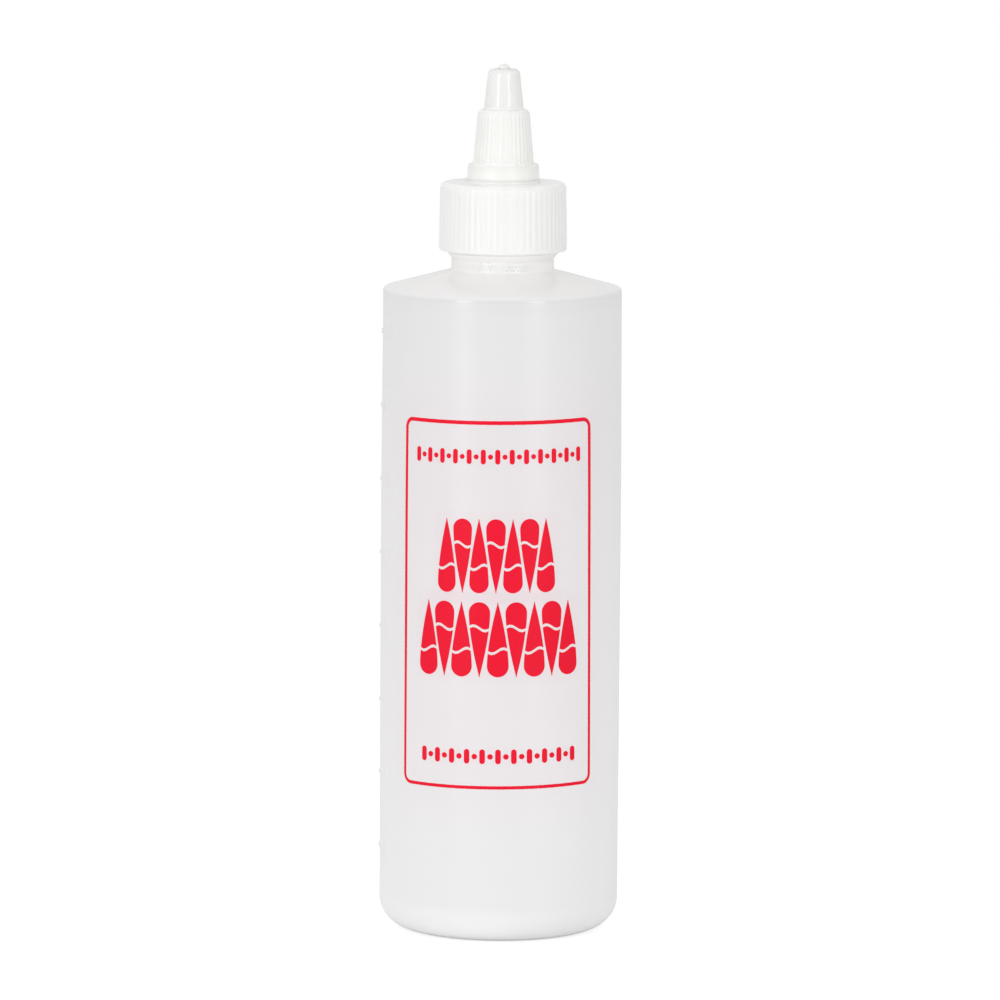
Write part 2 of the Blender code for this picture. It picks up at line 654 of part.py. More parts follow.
def make_top(collection, helpers, material):
    collar_foot = (COLLAR_RADIUS, COLLAR_FOOT_Z)
    collar_top = (COLLAR_TOP_RADIUS, GRIP_FOOT_Z)
    grip_foot = (GRIP_RADIUS, GRIP_FOOT_Z)
    grip_top = (GRIP_TOP_RADIUS, NOZZLE_FOOT_Z)
    nozzle_foot = (NOZZLE_RADIUS, NOZZLE_FOOT_Z)
    nozzle_top = (NOZZLE_TOP_RADIUS, TIP_Z)
    land_z = TIP_Z - LAND_LENGTH
    chamber_top = (NOZZLE_TOP_RADIUS - NOZZLE_TOP_WALL, land_z - LAND_TAPER)
    chamber_foot = (NOZZLE_RADIUS - NOZZLE_WALL, NOZZLE_FOOT_Z)
    grip_bore_top = (GRIP_BORE_RADIUS, chamber_foot[1] - CHAMBER_TAPER)
    collar_bore = COLLAR_RADIUS - COLLAR_WALL
    collar_bore_foot = (collar_bore, COLLAR_FOOT_Z)
    collar_bore_z = COLLAR_FOOT_Z + COLLAR_BORE_HEIGHT

    profile = [(ORIFICE_RADIUS, TIP_Z)]
    profile += rounded_corner((0, TIP_Z), nozzle_top, nozzle_foot, NOZZLE_EDGE_RADIUS, CORNER_STEPS)
    profile += [nozzle_foot]
    profile += rounded_corner(nozzle_foot, grip_top, grip_foot, GRIP_EDGE_RADIUS, CORNER_STEPS)
    profile += [grip_foot]
    profile += rounded_corner(grip_foot, collar_top, collar_foot, COLLAR_EDGE_RADIUS, EDGE_STEPS)
    profile += rounded_corner(collar_top, collar_foot, collar_bore_foot, COLLAR_EDGE_RADIUS, EDGE_STEPS)
    profile += [collar_bore_foot, (collar_bore, collar_bore_z)]
    profile += reversed(bead(GRIP_BORE_RADIUS, TOP_CAM_RADIUS, TOP_BEAD_Z))
    profile += [grip_bore_top, chamber_foot, chamber_top, (ORIFICE_RADIUS, land_z), (ORIFICE_RADIUS, TIP_Z)]
    top = turned("twist_top", profile, TOP_STEPS, collection, material)

    groove_width = 2 * math.pi * GRIP_RADIUS / GRIP_RIBS * GROOVE_WIDTH_SHARE
    draft = GRIP_DRAFT / GRIP_HEIGHT
    rounded_top = NOZZLE_FOOT_Z - GRIP_EDGE_RADIUS
    cutters = grooves(
        "grip_grooves",
        GRIP_RIBS,
        (GRIP_RADIUS - draft * GRIP_PLAIN_END, GRIP_FOOT_Z + GRIP_PLAIN_END),
        (GRIP_TOP_RADIUS + draft * GRIP_EDGE_RADIUS, rounded_top),
        GRIP_GROOVE_DEPTH,
        groove_width,
        GROOVE_RUN_OUT,
        helpers,
    )
    combine(top, "DIFFERENCE", cutters)
    top_cam_start = math.radians(POST_CAM_START_DEG - TOP_TURN_DEG)
    add_cams(top, "grip", GRIP_BORE_RADIUS, TOP_CAM_RADIUS, TOP_CAM_Z, top_cam_start, helpers)
    return top


def main():
    clear_scene()
    parts = new_collection("dispensing_bottle")
    helpers = new_collection("cutters", hidden=True)
    natural_plastic = plastic("natural_plastic", (0.80, 0.79, 0.80), 0.35, 0.4)
    closure_plastic = plastic("closure_plastic", (0.90, 0.90, 0.88), 0.3)
    top_plastic = plastic("top_plastic", (0.90, 0.90, 0.87), 0.3)
    foam = plastic("foam", (0.82, 0.82, 0.80), 0.8)
    red_ink = plastic("red_ink", (0.83, 0.01, 0.03), 0.4)

    pieces = [
        make_bottle(parts, helpers, natural_plastic),
        make_border(parts, red_ink),
        make_gasket(parts, foam),
        make_closure(parts, helpers, closure_plastic),
        make_top(parts, helpers, top_plastic),
    ]
    for piece in pieces:
        settle(piece)


main()
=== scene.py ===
"""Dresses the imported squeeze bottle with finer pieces, plastics, ink, studio light and a camera.

Units are metres and +Z is up. The printed front faces -Y and the volume marks are on the -X side.
"""

import math

import bmesh
import bpy
import numpy as np
from mathutils import Matrix, Vector


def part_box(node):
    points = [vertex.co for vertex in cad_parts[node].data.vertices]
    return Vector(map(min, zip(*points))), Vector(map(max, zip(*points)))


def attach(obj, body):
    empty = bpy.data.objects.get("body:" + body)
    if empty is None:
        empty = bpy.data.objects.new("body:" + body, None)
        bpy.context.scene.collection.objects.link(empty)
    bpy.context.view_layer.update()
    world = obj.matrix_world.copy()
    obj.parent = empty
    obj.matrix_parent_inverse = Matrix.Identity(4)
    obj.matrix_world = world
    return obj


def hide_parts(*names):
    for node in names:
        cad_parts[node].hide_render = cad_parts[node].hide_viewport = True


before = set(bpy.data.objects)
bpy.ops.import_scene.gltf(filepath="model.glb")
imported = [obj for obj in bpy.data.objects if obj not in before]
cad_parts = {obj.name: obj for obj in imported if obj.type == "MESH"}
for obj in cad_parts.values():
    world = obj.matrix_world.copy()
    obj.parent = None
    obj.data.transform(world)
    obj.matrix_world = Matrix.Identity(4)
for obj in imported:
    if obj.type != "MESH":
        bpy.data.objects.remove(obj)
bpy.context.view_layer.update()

# Sizes read from the frame
BOTTLE_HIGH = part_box("bottle")[1]
CLOSURE_LOW, CLOSURE_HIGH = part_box("screw_closure")
TOP_LOW, TOP_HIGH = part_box("twist_top")
GASKET_LOW, GASKET_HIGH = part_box("sealing_gasket")
BORDER_LOW, BORDER_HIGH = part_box("printed_border")
BODY_RADIUS = BOTTLE_HIGH.y
LIP_Z = BOTTLE_HIGH.z
CLOSURE_RADIUS = CLOSURE_HIGH.y
SKIRT_FOOT_Z = CLOSURE_LOW.z
PIN_TOP_Z = CLOSURE_HIGH.z
COLLAR_RADIUS = TOP_HIGH.y
COLLAR_FOOT_Z = TOP_LOW.z
TIP_Z = TOP_HIGH.z
GASKET_RADIUS = GASKET_HIGH.y

# Bottle body, which eases in a little towards its shoulder and its foot
BODY_WALL = 0.0008
SHOULDER_EASE = 0.00022
SHOULDER_EASE_FOOT_Z = 0.088
FOOT_EASE = 0.00008
FOOT_EASE_TOP_Z = 0.045
BASE_THICKNESS = 0.0012
BASE_CORNER_RADIUS = 0.0064
STANDING_RING_WIDTH = 0.0035
PUSH_UP_HEIGHT = 0.0016
PUSH_UP_RAMP = 0.0045
BODY_HEIGHT = 0.1363
SHOULDER_RISE = 0.0039
SHOULDER_CORNER_RADIUS = 0.0009
SHOULDER_WALL = 0.001
SHOULDER_ROW_STEP = 0.002
BASE_ROW_STEP = 0.0006

# Bottle neck
NECK_RADIUS = 0.0108
NECK_WALL = 0.00205
NECK_FOOT_FILLET = 0.0006
LIP_EDGE_RADIUS = 0.0004
BEAD_RADIUS = NECK_RADIUS + 0.001
BEAD_FOOT_HEIGHT = 0.0024
BEAD_FLANK = 0.0013
BEAD_RIM = 0.0012
BEAD_TOP_FLANK = 0.0007
NECK_FOOT_Z = BODY_HEIGHT + SHOULDER_RISE
BEAD_LOW_Z = NECK_FOOT_Z + BEAD_FOOT_HEIGHT + BEAD_FLANK
BEAD_TOP_Z = BEAD_LOW_Z + BEAD_RIM + BEAD_TOP_FLANK
NECK_BORE_RADIUS = NECK_RADIUS - NECK_WALL

# Raised studs in two patches on the front of the neck
STUD_PITCH = 0.0008
STUD_HALF_WIDTH = 0.00042
STUD_RELIEF = 0.0003
STUD_ROWS = 3
STUD_FOOT = 0.0003
STUD_PATCHES_DEG = ((-28, -11.5), (3, 26))

# Threads. The neck's and the closure's have a height, a width at the root and a width at the crest.
THREAD_PITCH = 0.003175
NECK_THREAD = (0.001, 0.0018, 0.0008)
CLOSURE_THREAD = (0.001, 0.0019, 0.0009)
THREAD_CLEARANCE = 0.00035
NECK_THREAD_TURNS = 1.5
CLOSURE_THREAD_TURNS = 1.1
THREAD_FADE = math.radians(20)
THREAD_TO_LIP = 0.0015
THREAD_TOP_Z = LIP_Z - THREAD_TO_LIP - NECK_THREAD[1] / 2
THREAD_ROW_STEP = 0.00013

# Traces of the blow mould. A wave has a size, its turns round the wall, its rate up the wall and a start.
SEAM_DEG = -17
SEAM_HALF_WIDTH = 0.00016
SEAM_RELIEF = 0.00003
PINCH_HALF_WIDTH = 0.0006
PINCH_HALF_LENGTH = 0.0125
PINCH_HEIGHT = 0.0007
PINCH_SHARE = 0.8
PINCH_END_LENGTH = 0.001
WALL_WAVE = 0.00003
WAVES = ((1, 3, 61, 0.7), (0.6, 5, -140, 2.1), (0.5, 2, 230, 0))
WAVES_REACH = 2.1
WAVE_FADE_LENGTH = 0.01

# Volume marks and their numerals
LOWEST_MARK = 0.0171
MARK_PITCH = 0.01569
MARK_COUNT = 8
MARK_STEP_ML = 30
MARK_RELIEF = 0.00027
MARK_HALF_HEIGHT = 0.00042
MARK_END_LENGTH = 0.0004
MARK_END_SHARE = 0.07
MARK_SQUARENESS = 0.8
MARK_START_DEG = -88
MARK_END_DEG = -106
MARK_SUNK = 0.0003
TYPE_HEIGHT_SHARE = 0.72
NUMERAL_SPACING = 1.04
NUMERAL_HEIGHT = 0.00285
NUMERAL_RISE = 0.00055
NUMERAL_START_DEG = -78.7
NUMERAL_RELIEF = 0.00003
NUMERAL_BEVEL = 0.00002

# Printed ink: a line round the front, with a ripple's rates along and across it, and plain shapes inside
CAD_BORDER_LINE = 0.00055
PRINT_LINE = 0.00074
PRINT_LINE_GROWTH = 0.15
PRINT_LINE_STEP = 0.0003
PRINT_LEFT = math.radians(-51.15) * BODY_RADIUS
PRINT_RIGHT = math.radians(47.2) * BODY_RADIUS
PRINT_FOOT = BORDER_LOW.z + CAD_BORDER_LINE / 2
PRINT_TOP = BORDER_HIGH.z - CAD_BORDER_LINE / 2
PRINT_CORNER = 0.0018
PRINT_SLOPE = 0.0078
PRINT_LEAN = 0.0098
INK_THICKNESS = 0.00003
INK_SUNK = 0.00004
INK_SECTION = (
    (-1, -INK_SUNK),
    (-1, INK_THICKNESS / 2),
    (-0.86, INK_THICKNESS),
    (0.86, INK_THICKNESS),
    (1, INK_THICKNESS / 2),
    (1, -INK_SUNK),
)
INK_EDGE_RIPPLE = 0.05
INK_RIPPLES = ((1.9, 3), (0.83, 5))
INK_POINT_HALF_WIDTH = 0.00004
DASH_SHARE = 0.7
DROP_TAPER = 1.6
DROP_PITCH_SHARE = 1.47
DROP_GAP = 0.00055
DROP_LEVEL_SHARE = 0.33
DROP_LEVEL_WAVE = 0.035
DROP_LEVEL_TURN = 2.6
DROP_LEVEL_GAP = 0.0006
DROP_COLUMNS = 7
DROP_ROWS = 20
DROP_ROW_CROWDING = 1.6

# The print's rows: where each starts and ends in degrees round the wall, and its lowest and highest point
UPPER_DASHES = (-43.8, 41.1, 0.1018, 0.1049)
UPPER_DROPS = (-30.9, 26.7, 0.0747, 0.0903)
LOWER_DROPS = (-41.2, 38.9, 0.057, 0.0728)
LOWER_DASHES = (-39.6, 37.7, 0.0386, 0.0417)

# Painted pink glow on the wall, light from the red ink scattered in the milky plastic:
# an area as above, its strength, and how far it fades in radians and in height
PAINTED_INK_GLOW_AREAS = (
    ((-49, 45.5, 0.0345, 0.1095), 0.2, 0.4, 0.012),
    (UPPER_DASHES, 0.28, 0.08, 0.003),
    (UPPER_DROPS, 0.4, 0.16, 0.005),
    ((-27, 23, 0.0728, 0.0747), 0.7, 0.4, 0.002),
    (LOWER_DROPS, 0.4, 0.16, 0.005),
    (LOWER_DASHES, 0.28, 0.08, 0.003),
)

# Screw closure
DECK_Z = 0.1586
DECK_UNDERSIDE_Z = 0.1571
SKIRT_BORE_RADIUS = 0.01215
CLOSURE_DRAFT = 0.00025
CLOSURE_EDGE_RADIUS = 0.0011
CLOSURE_RIBS = 60
RIB_DEPTH = 0.00005
RIB_PROUD = 0.00005
RIB_FOOT_Z = SKIRT_FOOT_Z + 0.0009
RIB_TOP_Z = DECK_Z - 0.0003
RIB_FADE = 0.0004
RIB_TOP_LENGTH = 0.0016
RIB_FOOT_LENGTH = 0.0012
RIB_ROW_STEP = 0.0001
SKIRT_ROW_STEP = 0.0025
BORE_ROW_STEP = 0.00015
SKIRT_EDGE_RADIUS = 0.0003
SEAT_CLEARANCE = 0.00002
SEAT_RADIUS = 0.0077
SEAT_Z = COLLAR_FOOT_Z - SEAT_CLEARANCE
SEAT_EDGE_RADIUS = 0.00003
SEAT_FOOT_FILLET = 0.0003

# Post and pin, moulded with the closure
POST_RADIUS = 0.0036
POST_BORE_RADIUS = 0.0024
POST_TOP_Z = 0.172
POST_ROOF_Z = 0.1706
POST_TOP_CHAMFER = 0.0005
PIN_RADIUS = 0.0013
PIN_FOOT_RADIUS = 0.0018
PIN_HEAD_LENGTH = 0.0022
PIN_FOOT_FILLET = 0.0003
POST_FOOT_FILLET = 0.0002

# Twist top
COLLAR_TOP_RADIUS = COLLAR_RADIUS - 0.00024
COLLAR_EDGE_RADIUS = 0.00025
COLLAR_FOOT_EDGE_RADIUS = 0.00003
COLLAR_BORE_RADIUS = COLLAR_RADIUS - 0.0013
COLLAR_BORE_Z = COLLAR_FOOT_Z + 0.0022
GRIP_FOOT_Z = COLLAR_FOOT_Z + 0.0032
GRIP_RADIUS = 0.00637
GRIP_TOP_RADIUS = 0.00542
GRIP_BORE_RADIUS = 0.00445
GRIP_EDGE_RADIUS = 0.0011
GRIP_RIBS = 38
GRIP_RIB_DEPTH = 0.00004
NOZZLE_FOOT_Z = 0.174
NOZZLE_RADIUS = 0.00416
NOZZLE_TOP_RADIUS = 0.00326
NOZZLE_EDGE_RADIUS = 0.0012
NOZZLE_WALL = 0.0012
NOZZLE_FOOT_FILLET = 0.00025
NOZZLE_ROW_STEP = 0.0015
GRIP_ROW_STEP = 0.0004
LAND_Z = TIP_Z - 0.0016
ORIFICE_RADIUS = 0.00139
ORIFICE_EDGE_RADIUS = 0.00006
CHAMBER_TOP_RADIUS = NOZZLE_TOP_RADIUS - 0.0011
CHAMBER_TAPER = 0.0006

# Gasket
GASKET_BORE_RADIUS = 0.008
GASKET_EDGE_RADIUS = 0.00012

# Cams on the post and in the grip, and their stop beads
CAM_STARTS = 2
CAM_SWEEP = math.radians(80)
CAM_WIDTH = 0.0012
CAM_CREST_WIDTH = 0.0007
CAM_HEIGHT = 0.0005
CAM = (CAM_HEIGHT, CAM_WIDTH, CAM_CREST_WIDTH)
CAM_LEAD = 0.012046
CAM_CLEARANCE = 0.0003
STOP_BEAD_WIDTH = 0.0007
TOP_LIFT = CAM_LEAD / 4
TOP_BEAD_Z = COLLAR_BORE_Z + STOP_BEAD_WIDTH / 2
POST_BEAD_Z = TOP_BEAD_Z + TOP_LIFT + CAM_CLEARANCE + STOP_BEAD_WIDTH / 2
TOP_CAM_Z = POST_BEAD_Z + STOP_BEAD_WIDTH / 2 + CAM_CLEARANCE + CAM_WIDTH / 2
POST_CAM_Z = TOP_CAM_Z + TOP_LIFT - CAM_WIDTH - THREAD_CLEARANCE
POST_CAM_START = math.pi / 2
TOP_CAM_START = 0
CAM_ROW_STEP = 0.00018

# Looks of the bottle's plastic. A ramp names two values, and after them what it gives there if not 0 and 1.
# An area names an angle from the front, and a ramp over the distance from it, in radians.
NOISE_RANGE = (0.3, 0.7)
# Painted light and shade on the wall: painted lighter low down and darker high up, for how light falls on
# and through it
BODY_PAINTED_SHADE_RAMP = (0.01, 0.13)
BODY_PAINTED_LIGHT_LOW_TONE = (0.88, 0.877, 0.882)
BODY_PAINTED_SHADE_HIGH_TONE = (0.805, 0.795, 0.80)
# Painted shade on the front of the wall, which leaves its sides lighter
PAINTED_FRONT_SHADE_AREA = (-0.15, 0.3, 1.2, 1, 0)
PAINTED_FRONT_SHADE = (0.92, 0.92, 0.92)
# Painted shade on a band below the shoulder's edge, where light from above falls; the same shade also
# darkens the random clouds
PAINTED_EDGE_SHADE_RAMP = (BODY_HEIGHT - 0.004, BODY_HEIGHT - 0.001)
CLOUD_AND_PAINTED_EDGE_SHADE = (0.975, 0.975, 0.98)
# Painted light at the foot, strongest at its very bottom and a little left of front, against the shade where
# it stands
PAINTED_FOOT_LIGHT_AREA = (-0.3, 0.25, 0.85, 1, 0.45)
PAINTED_FOOT_LIGHT_RAMP = (0.0005, 0.008, 0.9, 0)
PAINTED_FOOT_LINE_LIGHT_RAMP = (0.0005, 0.003, 1, 0)
PAINTED_FOOT_LIGHT_TONE = (1.0, 0.99, 0.995)
# Painted light on the shoulder, lighter and warmer than the wall, and lighter still near the neck against
# the closure's shade
SHOULDER_PAINTED_LIGHT_RAMP = (BODY_HEIGHT - 0.0004, BODY_HEIGHT + 0.0002)
SHOULDER_TOP_PAINTED_LIGHT_RAMP = (NECK_FOOT_Z - 0.0018, NECK_FOOT_Z)
SHOULDER_PAINTED_LIGHT_TONE = (0.885, 0.87, 0.865)
SHOULDER_TOP_PAINTED_LIGHT_TONE = (0.93, 0.92, 0.91)
NECK_RAMP = (NECK_FOOT_Z - 0.0002, NECK_FOOT_Z + 0.0008)
# Painted light and shade on the neck: darker in front, lighter on its flanks and most on the right
NECK_PAINTED_LIGHT_SIDE_RAMP = (-0.3, 0.3)
NECK_LEFT_PAINTED_LIGHT_TONE = (0.895, 0.885, 0.875)
NECK_RIGHT_PAINTED_LIGHT_TONE = (0.955, 0.945, 0.93)
NECK_PAINTED_SHADE_AREA = (0, 0.45, 0.95)
NECK_FRONT_PAINTED_SHADE_TONE = (0.832, 0.829, 0.826)
# Painted light in the crease and on the bead's underside against the closure's shade, then a plainer tone
# above
BEAD_PAINTED_LIGHT_STEPS = (
    (BEAD_LOW_Z - 0.0022, BEAD_LOW_Z - 0.0013, (0.9, 0.892, 0.88)),
    (BEAD_LOW_Z - 0.0012, BEAD_LOW_Z - 0.0003, (0.96, 0.95, 0.935)),
    (BEAD_LOW_Z, BEAD_LOW_Z + 0.0004, (0.86, 0.85, 0.84)),
)
# Painted pink glow of the ink's light
PAINTED_INK_GLOW_TONE = (1.0, 0.825, 0.865)
CLOUD_RAMP = (0.35, 0.7, 0, 0.4)
BODY_GLOSS = (0.285, 0.345)
SHOULDER_GLOSS_RAMP = (BODY_HEIGHT - 0.0011, BODY_HEIGHT - 0.0009, 1, 0.62)
BEAD_GLOSS_RAMP = (BEAD_LOW_Z - BEAD_FLANK - 0.0001, BEAD_LOW_Z - BEAD_FLANK + 0.0001, 1, 0.55)
PEEL_DEPTH = 0.00001

# Looks of the closure's and the top's plastic: a tone, its steps (start, end, tone) up the height, and a
# height with the roughness below and above it
CLOSURE_TONE = (0.875, 0.873, 0.863)
CLOSURE_TONE_AND_PAINTED_LIGHT_STEPS = (
    # Painted light on the deck's edge and deck, against the shade round the collar's foot
    (DECK_Z - 0.0003, DECK_Z - 0.0001, (0.975, 0.97, 0.955)),
    # Painted light on the seat, warm, against the shade under the collar; then a darker pin
    (DECK_Z, DECK_Z + 0.0002, (1.0, 0.985, 0.955)),
    (POST_TOP_Z - 0.0001, POST_TOP_Z, (0.85, 0.85, 0.84)),
)
CLOSURE_GLOSS = (DECK_Z - 0.0003, (0.285, 0.33), (0.18, 0.24))
# Painted light at the collar's foot against the deck's shade, fading up the collar
COLLAR_FOOT_PAINTED_LIGHT_TONE = (0.965, 0.96, 0.935)
TOP_TONE_AND_PAINTED_LIGHT_STEPS = (
    (COLLAR_FOOT_Z, GRIP_FOOT_Z - 0.0004, (0.825, 0.82, 0.80)),
    # Painted light on the ledge at the grip's foot, against its shade; then the grip's own tone
    (GRIP_FOOT_Z - 0.00012, GRIP_FOOT_Z - 0.00002, (0.96, 0.96, 0.94)),
    (GRIP_FOOT_Z + 0.0001, GRIP_FOOT_Z + 0.0005, (0.862, 0.86, 0.84)),
    # Painted light on the grip's top, against the shade at the nozzle's foot; then the nozzle's own tone
    (NOZZLE_FOOT_Z - 0.0006, NOZZLE_FOOT_Z - 0.0001, (0.93, 0.93, 0.915)),
    (NOZZLE_FOOT_Z + 0.0002, NOZZLE_FOOT_Z + 0.0007, (0.83, 0.83, 0.815)),
)
TOP_GLOSS = (NOZZLE_FOOT_Z, (0.30, 0.36), (0.13, 0.18))
GLOSS_STEP = 0.00005
FLOW_SHADE = (0.985, 0.985, 0.98)
SKIN_DEPTH = 0.000003

# Looks of the foam and the ink
FOAM_TONE = (0.86, 0.86, 0.84)
CELL_TONE = (0.72, 0.72, 0.70)
CELL_DEPTH = 0.00005
INK_TONE = (0.84, 0.004, 0.026)
INK_MOTTLE_TONE = (0.80, 0.006, 0.032)
INK_GLOSS = (0.34, 0.48)
MESH_DEPTH = 0.000008

# Columns of the turned meshes, and the limits under which lengths count as equal and edges as smooth
TOUCH = 1e-6
BOTTLE_COLUMNS = 240
CLOSURE_COLUMNS = CLOSURE_RIBS * 12
CLOSURE_PLAIN_COLUMNS = CLOSURE_RIBS * 4
POST_COLUMNS = CLOSURE_RIBS * 2
PIN_COLUMNS = CLOSURE_RIBS
GRIP_COLUMNS = GRIP_RIBS * 12
COLLAR_COLUMNS = GRIP_RIBS * 6
NOZZLE_COLUMNS = GRIP_RIBS * 3
GASKET_COLUMNS = 120
SHARP_ANGLE = math.radians(38)

# Camera, matched to the photograph
CAMERA_PLACE = (0.0, -1.6051, 0.2996)
CAMERA_PITCH = math.radians(7.402)
CAMERA_ROLL = math.radians(0.41)
CAMERA_YAW = math.radians(-0.008)
CAMERA_FOCAL_PX = 7646.66
IMAGE_WIDTH_PX = 1000
SENSOR_WIDTH_MM = 36

# Studio light. A world ramp names two directions and the light from each.
WHITE = (1, 1, 1)
WORLD_DEPTH_RAMP = (-0.2, 0.9, 0.76, 0.85)
WORLD_SIDE_RAMP = (-0.6, 0.6, 1.0, 0.88)
WORLD_RISE_RAMP = (0.3, 1.0, 1, 1.12)
STRIP_DISTANCE = 1.25
STRIP_WIDTH = 0.26
STRIP_HEIGHT = 1.2
STRIP_Z = 0.35
STRIP_TARGET = (0, 0, 0.12)
STRIPS = (("left_strip", -37, 4.4), ("right_strip", 33, 3.7))
FLOOR_REACH = 12
FLOOR_DROP = 0.00005
FLOOR_TONES = ((0.93, 0.93, 0.93), (0.91, 0.91, 0.91))
FLOOR_LIFT = 0.77
FLOOR_SHADOW_SHARE = 0.4
WHITE_FROM = 0.25
WHITE_BEYOND = 0.9


def arc(centre_radius, centre_z, radius, start_deg, end_deg, steps):
    """Points (radius, height) along an arc of a turned profile, both ends included."""
    points = []
    for step in range(steps + 1):
        angle = math.radians(start_deg + (end_deg - start_deg) * step / steps)
        points.append((centre_radius + radius * math.cos(angle), centre_z + radius * math.sin(angle)))
    return points


def rounded(before, corner, after, radius, steps=6):
    """Points that round the corner of a turned profile between two straight stretches."""
    corner_point = Vector(corner)
    into = (Vector(before) - corner_point).normalized()
    out = (Vector(after) - corner_point).normalized()
    half = into.angle(out) / 2
    centre = corner_point + (into + out).normalized() * (radius / math.sin(half))
    first = corner_point + into * (radius / math.tan(half)) - centre
    last = corner_point + out * (radius / math.tan(half)) - centre
    start = math.atan2(first.y, first.x)
    turn = (math.atan2(last.y, last.x) - start + math.pi) % (2 * math.pi) - math.pi
    return arc(centre.x, centre.y, radius, math.degrees(start), math.degrees(start + turn), steps)


def spaced(points, step):
    """The same profile with points at most a step apart."""
    result = [points[0]]
    for before, after in zip(points, points[1:]):
        count = max(1, math.ceil(math.dist(before, after) / step - TOUCH))
        for index in range(1, count + 1):
            share = index / count
            result.append(tuple(b + (a - b) * share for b, a in zip(before, after)))
    return result


def extended(points, end, step):
    """A profile and a straight stretch on to an end, with points at most a step apart."""
    return points + spaced([points[-1], end], step)[1:]


def eased(corners):
    """A list of points for each corner (radius, height, fillet, steps) between the first and the last."""
    parts = []
    for before, corner, after in zip(corners, corners[1:], corners[2:]):
        parts.append(rounded(before[:2], corner[:2], after[:2], *corner[2:]) if corner[2:] else [corner])
    return parts


def smoothstep(value):
    """A soft step from 0 to 1."""
    value = np.clip(value, 0, 1)
    return value * value * (3 - 2 * value)


def turned(name, stretches, relief=None, angles=None, closed=False):
    """A mesh turned about Z through stretches of (radius, height) points, each with its number of columns.

    Neighbouring stretches have as many columns, or one has a whole multiple of the other's. relief changes
    the radius and height of a row's points by their angles.
    """
    profile = [(*point, columns) for points, columns in stretches for point in points]
    points, starts, counts = [], [], []
    for radius, height, columns in profile:
        count = 1 if radius == 0 else columns
        theta = angles if angles is not None and count > 1 else 2 * math.pi * np.arange(count) / count
        radii = np.full(len(theta), radius, float)
        heights = np.full(len(theta), height, float)
        if relief is not None and count > 1:
            radii, heights = relief(radii, heights, theta)
        starts.append(sum(counts))
        counts.append(len(theta))
        points.append(np.stack([radii * np.cos(theta), radii * np.sin(theta), heights], 1))
    faces = []
    pairs = list(zip(range(len(profile) - 1), range(1, len(profile))))
    if closed:
        pairs.append((len(profile) - 1, 0))
    for lower, upper in pairs:
        faces += strip(starts[lower], counts[lower], starts[upper], counts[upper])
    mesh = bpy.data.meshes.new(name)
    mesh.from_pydata(np.concatenate(points).tolist(), [], faces)
    return piece_of(name, mesh)


def strip(first, first_count, second, second_count):
    """Faces between two rings of points."""
    if first_count < second_count:
        return [face[::-1] for face in strip(second, second_count, first, first_count)]
    share = first_count // second_count
    faces = []
    for index in range(second_count):
        near = [first + (index * share + step) % first_count for step in range(share + 1)]
        if second_count == 1:
            faces += [[near[step], near[step + 1], second] for step in range(share)]
        else:
            faces.append(near + [second + (index + 1) % second_count, second + index])
    return faces


def piece_of(name, mesh):
    """Puts a mesh in the scene with its normals outward and its smooth shading kept off sharp edges."""
    shape = bmesh.new()
    shape.from_mesh(mesh)
    bmesh.ops.recalc_face_normals(shape, faces=shape.faces)
    shape.to_mesh(mesh)
    shape.free()
    mesh.shade_smooth()
    mesh.set_sharp_from_angle(angle=SHARP_ANGLE)
    return add_object(name, mesh)


def add_object(name, data):
    """Puts an object in the scene."""
    made = bpy.data.objects.new(name, data)
    bpy.context.scene.collection.objects.link(made)
    return made


def piece_from(name, shape):
    """Turns finished bmesh work into a piece in the scene."""
    mesh = bpy.data.meshes.new(name)
    shape.to_mesh(mesh)
    shape.free()
    return piece_of(name, mesh)


def bridge(shape, first, second):
    """Joins two loops of the same number of points with faces."""
    for index in range(len(first)):
        following = (index + 1) % len(first)
        shape.faces.new((first[index], first[following], second[following], second[index]))


def helix(heights, theta, foot_z, lead, start, sweep, section):
    """How far a thread or cam ridge stands off its wall. Its section is a height and two widths."""
    height, root_width, crest_width = section
    relief = np.zeros_like(heights)
    flank = (root_width - crest_width) / 2
    for turn in range(-1, 3):
        turned_by = theta - start + 2 * math.pi * turn
        middle = foot_z + lead * turned_by / (2 * math.pi)
        share = np.minimum(np.minimum(turned_by, sweep - turned_by) / THREAD_FADE, 1)
        across = (root_width / 2 - np.abs(heights - middle)) / flank
        relief = np.maximum(relief, height * smoothstep(share) * smoothstep(across))
    return relief


def cams(heights, theta, foot_z, start, bead_z):
    """How far the cam ridges and the stop bead stand off the wall of the post or the grip's bore."""
    relief = CAM_HEIGHT * np.clip(1 - np.abs(heights - bead_z) / (STOP_BEAD_WIDTH / 2), 0, 1)
    for index in range(CAM_STARTS):
        turn = start + 2 * math.pi * index / CAM_STARTS
        relief = np.maximum(relief, helix(heights, theta, foot_z, CAM_LEAD, turn, CAM_SWEEP, CAM))
    return relief


def rib_relief(heights, theta, count, radius, foot, top, depth):
    """How far a ribbed wall stands off its line: RIB_PROUD on the ribs, depth below it between them."""
    pitch = 2 * math.pi * radius / count
    turn = 2 * math.pi / count
    across = np.abs((theta + turn / 2) % turn - turn / 2) / turn * pitch
    beyond = np.maximum(0, heights - (top - pitch / 2)) + np.maximum(0, (foot + pitch / 4) - heights)
    reach = np.clip(np.hypot(across, beyond) / (pitch / 2), 0, 1)
    inside = smoothstep((heights - foot) / RIB_FADE) * smoothstep((top - heights) / RIB_FADE)
    ground = -depth * inside
    return ground + (RIB_PROUD - ground) * np.cos(math.pi / 2 * reach) ** 2


